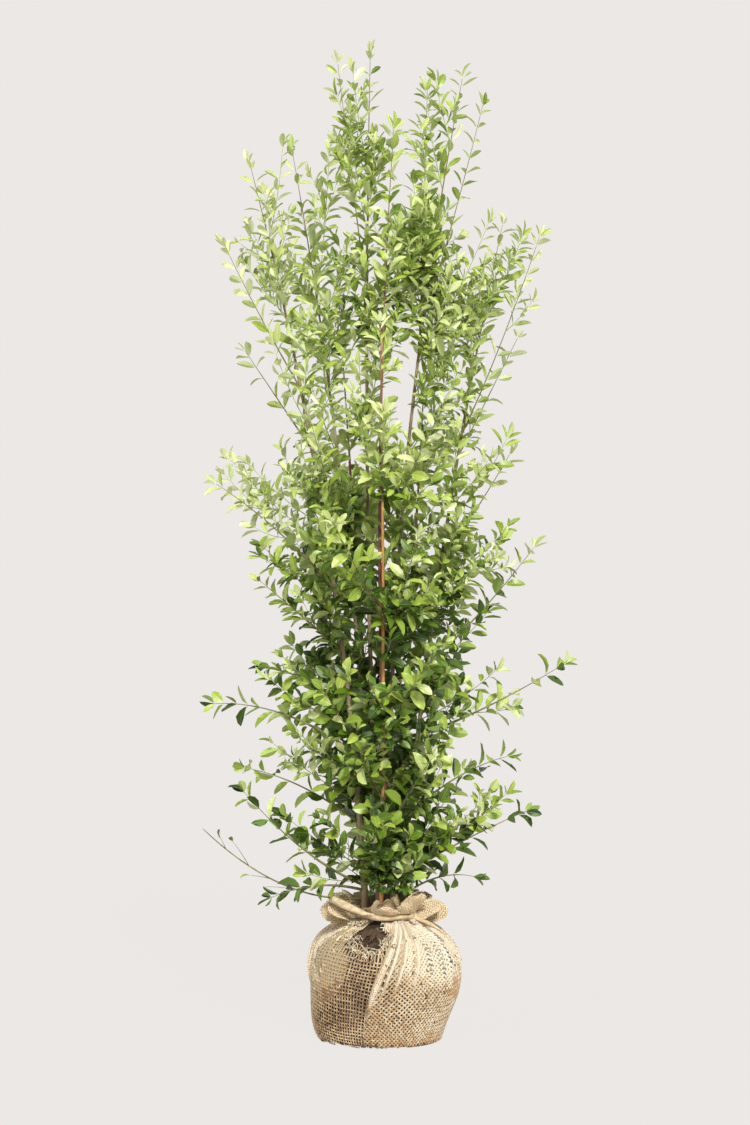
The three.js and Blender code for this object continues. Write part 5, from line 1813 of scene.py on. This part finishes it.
LOOP = {"points": 140, "wobble": 0.6, "wobbles": 5, "sway": 0.5, "sways": 3, "strands": 4, "depth": 0.1}
BAND = {"radius": 4.6, "growth": 1.7, "points": 70, "turn": 150,
        "route": [(-30, 62, 241), (-70, 61, 244), (-110, 66, 245), (-138, 86, 261), (-160, 112, 278)]}
CORNER_POINTS = 34
WRAP = {"points": 60, "turns": 0.75, "radius": 4.3, "out": 0.9, "up": 0.85, "slip": 1.25, "turn": 70}


def curve_through(points, count):
    """A smooth line through points, evenly spaced along its length."""
    padded = np.concatenate([[2 * points[0] - points[1]], points, [2 * points[-1] - points[-2]]])
    line = []
    for k in range(len(points) - 1):
        a, b, c, d = padded[k:k + 4]
        for t in np.linspace(0, 1, 12, endpoint=False):
            line.append(0.5 * (2 * b + (c - a) * t + (2 * a - 5 * b + 4 * c - d) * t**2
                               + (3 * b - a - 3 * c + d) * t**3))
    line = np.array([*line, points[-1]])
    run = run_along(line)
    even = np.linspace(0, run[-1], count)
    return np.stack([np.interp(even, run, line[:, k]) for k in range(3)], -1)


def twisted_section(centres, radii, turn_length, flatness=1.0, sides=22, depth=0.12):
    """Two strands twisted round each other, with the fine grooves of their yarns."""
    angle = np.arange(sides) * FULL_TURN / sides
    turn = angle + run_along(centres)[:, None] * FULL_TURN / turn_length
    scale = 1 + depth * np.cos(2 * turn) + 0.05 * np.cos(11 * turn)
    ring = np.stack([flatness * np.cos(angle), np.sin(angle)], -1)
    return radii[:, None, None] * scale[..., None] * ring


def make_tie():
    """A band of twisted cloth round the neck, its knot, the band that runs out to the left, and the corner
    that hangs out of the knot on the right."""
    tones = [(0.3, (184, 160, 124)), (0.5, (206, 186, 151)), (0.7, (222, 206, 176))]
    cloth = mottled_material("tie_cloth", tones, 120, 0.92, relief=0.8, relief_scale=1100)
    build = Build()
    wrap_neck(build)
    route = np.array([round_point(*place) for place in BAND["route"]])
    centres = curve_through(route, BAND["points"])
    radii = mix(BAND["radius"], BAND["radius"] * BAND["growth"], np.linspace(0, 1, BAND["points"]) ** 1.4)
    tube(build, centres, twisted_section(centres, radii, BAND["turn"]), reference=UP)
    route = np.array([round_point(*place) for place in CORNER["route"]])
    centres = curve_through(route, CORNER_POINTS)
    radii = mix(CORNER["radius"], CORNER["radius"] * CORNER["taper"], np.linspace(0, 1, CORNER_POINTS) ** 2)
    tube(build, centres, twisted_section(centres, radii, 900, CORNER["flatness"]), reference=UP)
    wrap_knot(build)
    return dressed(build.piece("tie_twisted_cloth", [cloth]), "burlap", "burlap_tie")


def wrap_neck(build):
    turns = np.linspace(0, FULL_TURN, LOOP["points"])
    reach = TIE["reach"] + LOOP["wobble"] * np.sin(LOOP["wobbles"] * turns)
    rise = TIE["height"] + LOOP["sway"] * np.sin(LOOP["sways"] * turns)
    centres = np.stack([reach * np.cos(turns), reach * np.sin(turns), rise], -1)
    radii = np.full(LOOP["points"], TIE["radius"])
    section = twisted_section(centres, radii, FULL_TURN * TIE["reach"] / LOOP["strands"], depth=LOOP["depth"])
    tube(build, centres, section, reference=UP, capped=(False, False))


def wrap_knot(build):
    """The knot: a short strand wound one and a half times round the band."""
    outwards = round_point(KNOT["azimuth"], 1, 0)
    beside = np.cross(UP, outwards)
    turns = np.linspace(-WRAP["turns"], WRAP["turns"], WRAP["points"]) * FULL_TURN
    centres = (
        round_point(KNOT["azimuth"], KNOT["reach"], KNOT["height"])
        + outwards * (KNOT["half"] * np.cos(turns))[:, None] * WRAP["out"]
        + UP * (KNOT["half"] * np.sin(turns))[:, None] * WRAP["up"]
        + beside * (turns * WRAP["slip"])[:, None]
    )
    radii = np.full(WRAP["points"], WRAP["radius"])
    tube(build, centres, twisted_section(centres, radii, WRAP["turn"], depth=LOOP["depth"]), reference=beside)


# Stage, light and camera

BACKDROP = (236, 232, 229)
FLOOR = {"colour": (38, 38, 38), "glow": 0.971, "radius": 60, "lower": 0.0004}
ROOM_LIGHT = 0.42
LAMPS = table_of("name strength spread tilt turn", ("key", 3.7, 16, 50, 11), ("fill", 0.65, 60, 55, -42))
LAMP_COLOUR = (1.0, 0.985, 0.96)


def make_stage():
    bpy.ops.mesh.primitive_circle_add(vertices=96, radius=FLOOR["radius"], fill_type="NGON")
    floor = bpy.context.object
    floor.name = "floor"
    floor.location.z = -FLOOR["lower"]
    pale = plain_material("floor_pale", FLOOR["colour"], 1.0, Specular_IOR_Level=0.0)
    shader = pale.node_tree.nodes["Principled BSDF"]
    shader.inputs["Emission Color"].default_value = colour(*BACKDROP)
    shader.inputs["Emission Strength"].default_value = FLOOR["glow"]
    floor.data.materials.append(pale)


def make_light():
    """A pale room all round, whose light is weaker than it looks, with broad soft lamps above and in
    front."""
    world = bpy.data.worlds.new("studio")
    bpy.context.scene.world = world
    world.use_nodes = True
    nodes = world.node_tree.nodes
    links = world.node_tree.links
    shown = nodes["Background"]
    lighting = nodes.new("ShaderNodeBackground")
    for background, strength in ((shown, 1.0), (lighting, ROOM_LIGHT)):
        background.inputs["Color"].default_value = colour(*BACKDROP)
        background.inputs["Strength"].default_value = strength
    path = nodes.new("ShaderNodeLightPath")
    blend = nodes.new("ShaderNodeMixShader")
    links.new(path.outputs["Is Camera Ray"], blend.inputs["Fac"])
    links.new(lighting.outputs["Background"], blend.inputs[1])
    links.new(shown.outputs["Background"], blend.inputs[2])
    links.new(blend.outputs["Shader"], nodes["World Output"].inputs["Surface"])
    for row in LAMPS:
        lamp = bpy.data.lights.new(row["name"], "SUN")
        lamp.energy = row["strength"]
        lamp.angle = math.radians(row["spread"])
        lamp.color = LAMP_COLOUR
        holder = bpy.data.objects.new(row["name"], lamp)
        holder.rotation_euler = (math.radians(row["tilt"]), 0, math.radians(row["turn"]))
        bpy.context.scene.collection.objects.link(holder)


def make_camera():
    """A level camera in front, whose picture is as high at the plant as the photograph's frame is there."""
    scale = PHOTO["mm_per_pixel"]
    view = bpy.data.cameras.new("camera")
    view.sensor_width = SENSOR
    view.lens = SENSOR * CAMERA_DISTANCE / (PHOTO["height"] * scale)
    camera = bpy.data.objects.new("camera", view)
    across = (PHOTO["width"] / 2 - PHOTO["axis_pixel"]) * scale
    height = (PHOTO["ground_pixel"] - PHOTO["height"] / 2) * scale
    camera.location = Vector((across, -CAMERA_DISTANCE, height)) * MM
    camera.rotation_euler = (math.pi / 2, 0, 0)
    bpy.context.scene.collection.objects.link(camera)
    bpy.context.scene.camera = camera


FOLIAGE_NODES = sorted(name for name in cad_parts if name.startswith("foliage_"))
shoots = grow_plant()
make_twigs()
make_leaves()
make_limbs(shoots)
make_burlap()
make_stage()
make_light()
make_camera()
bpy.context.scene.view_settings.view_transform = "Standard"
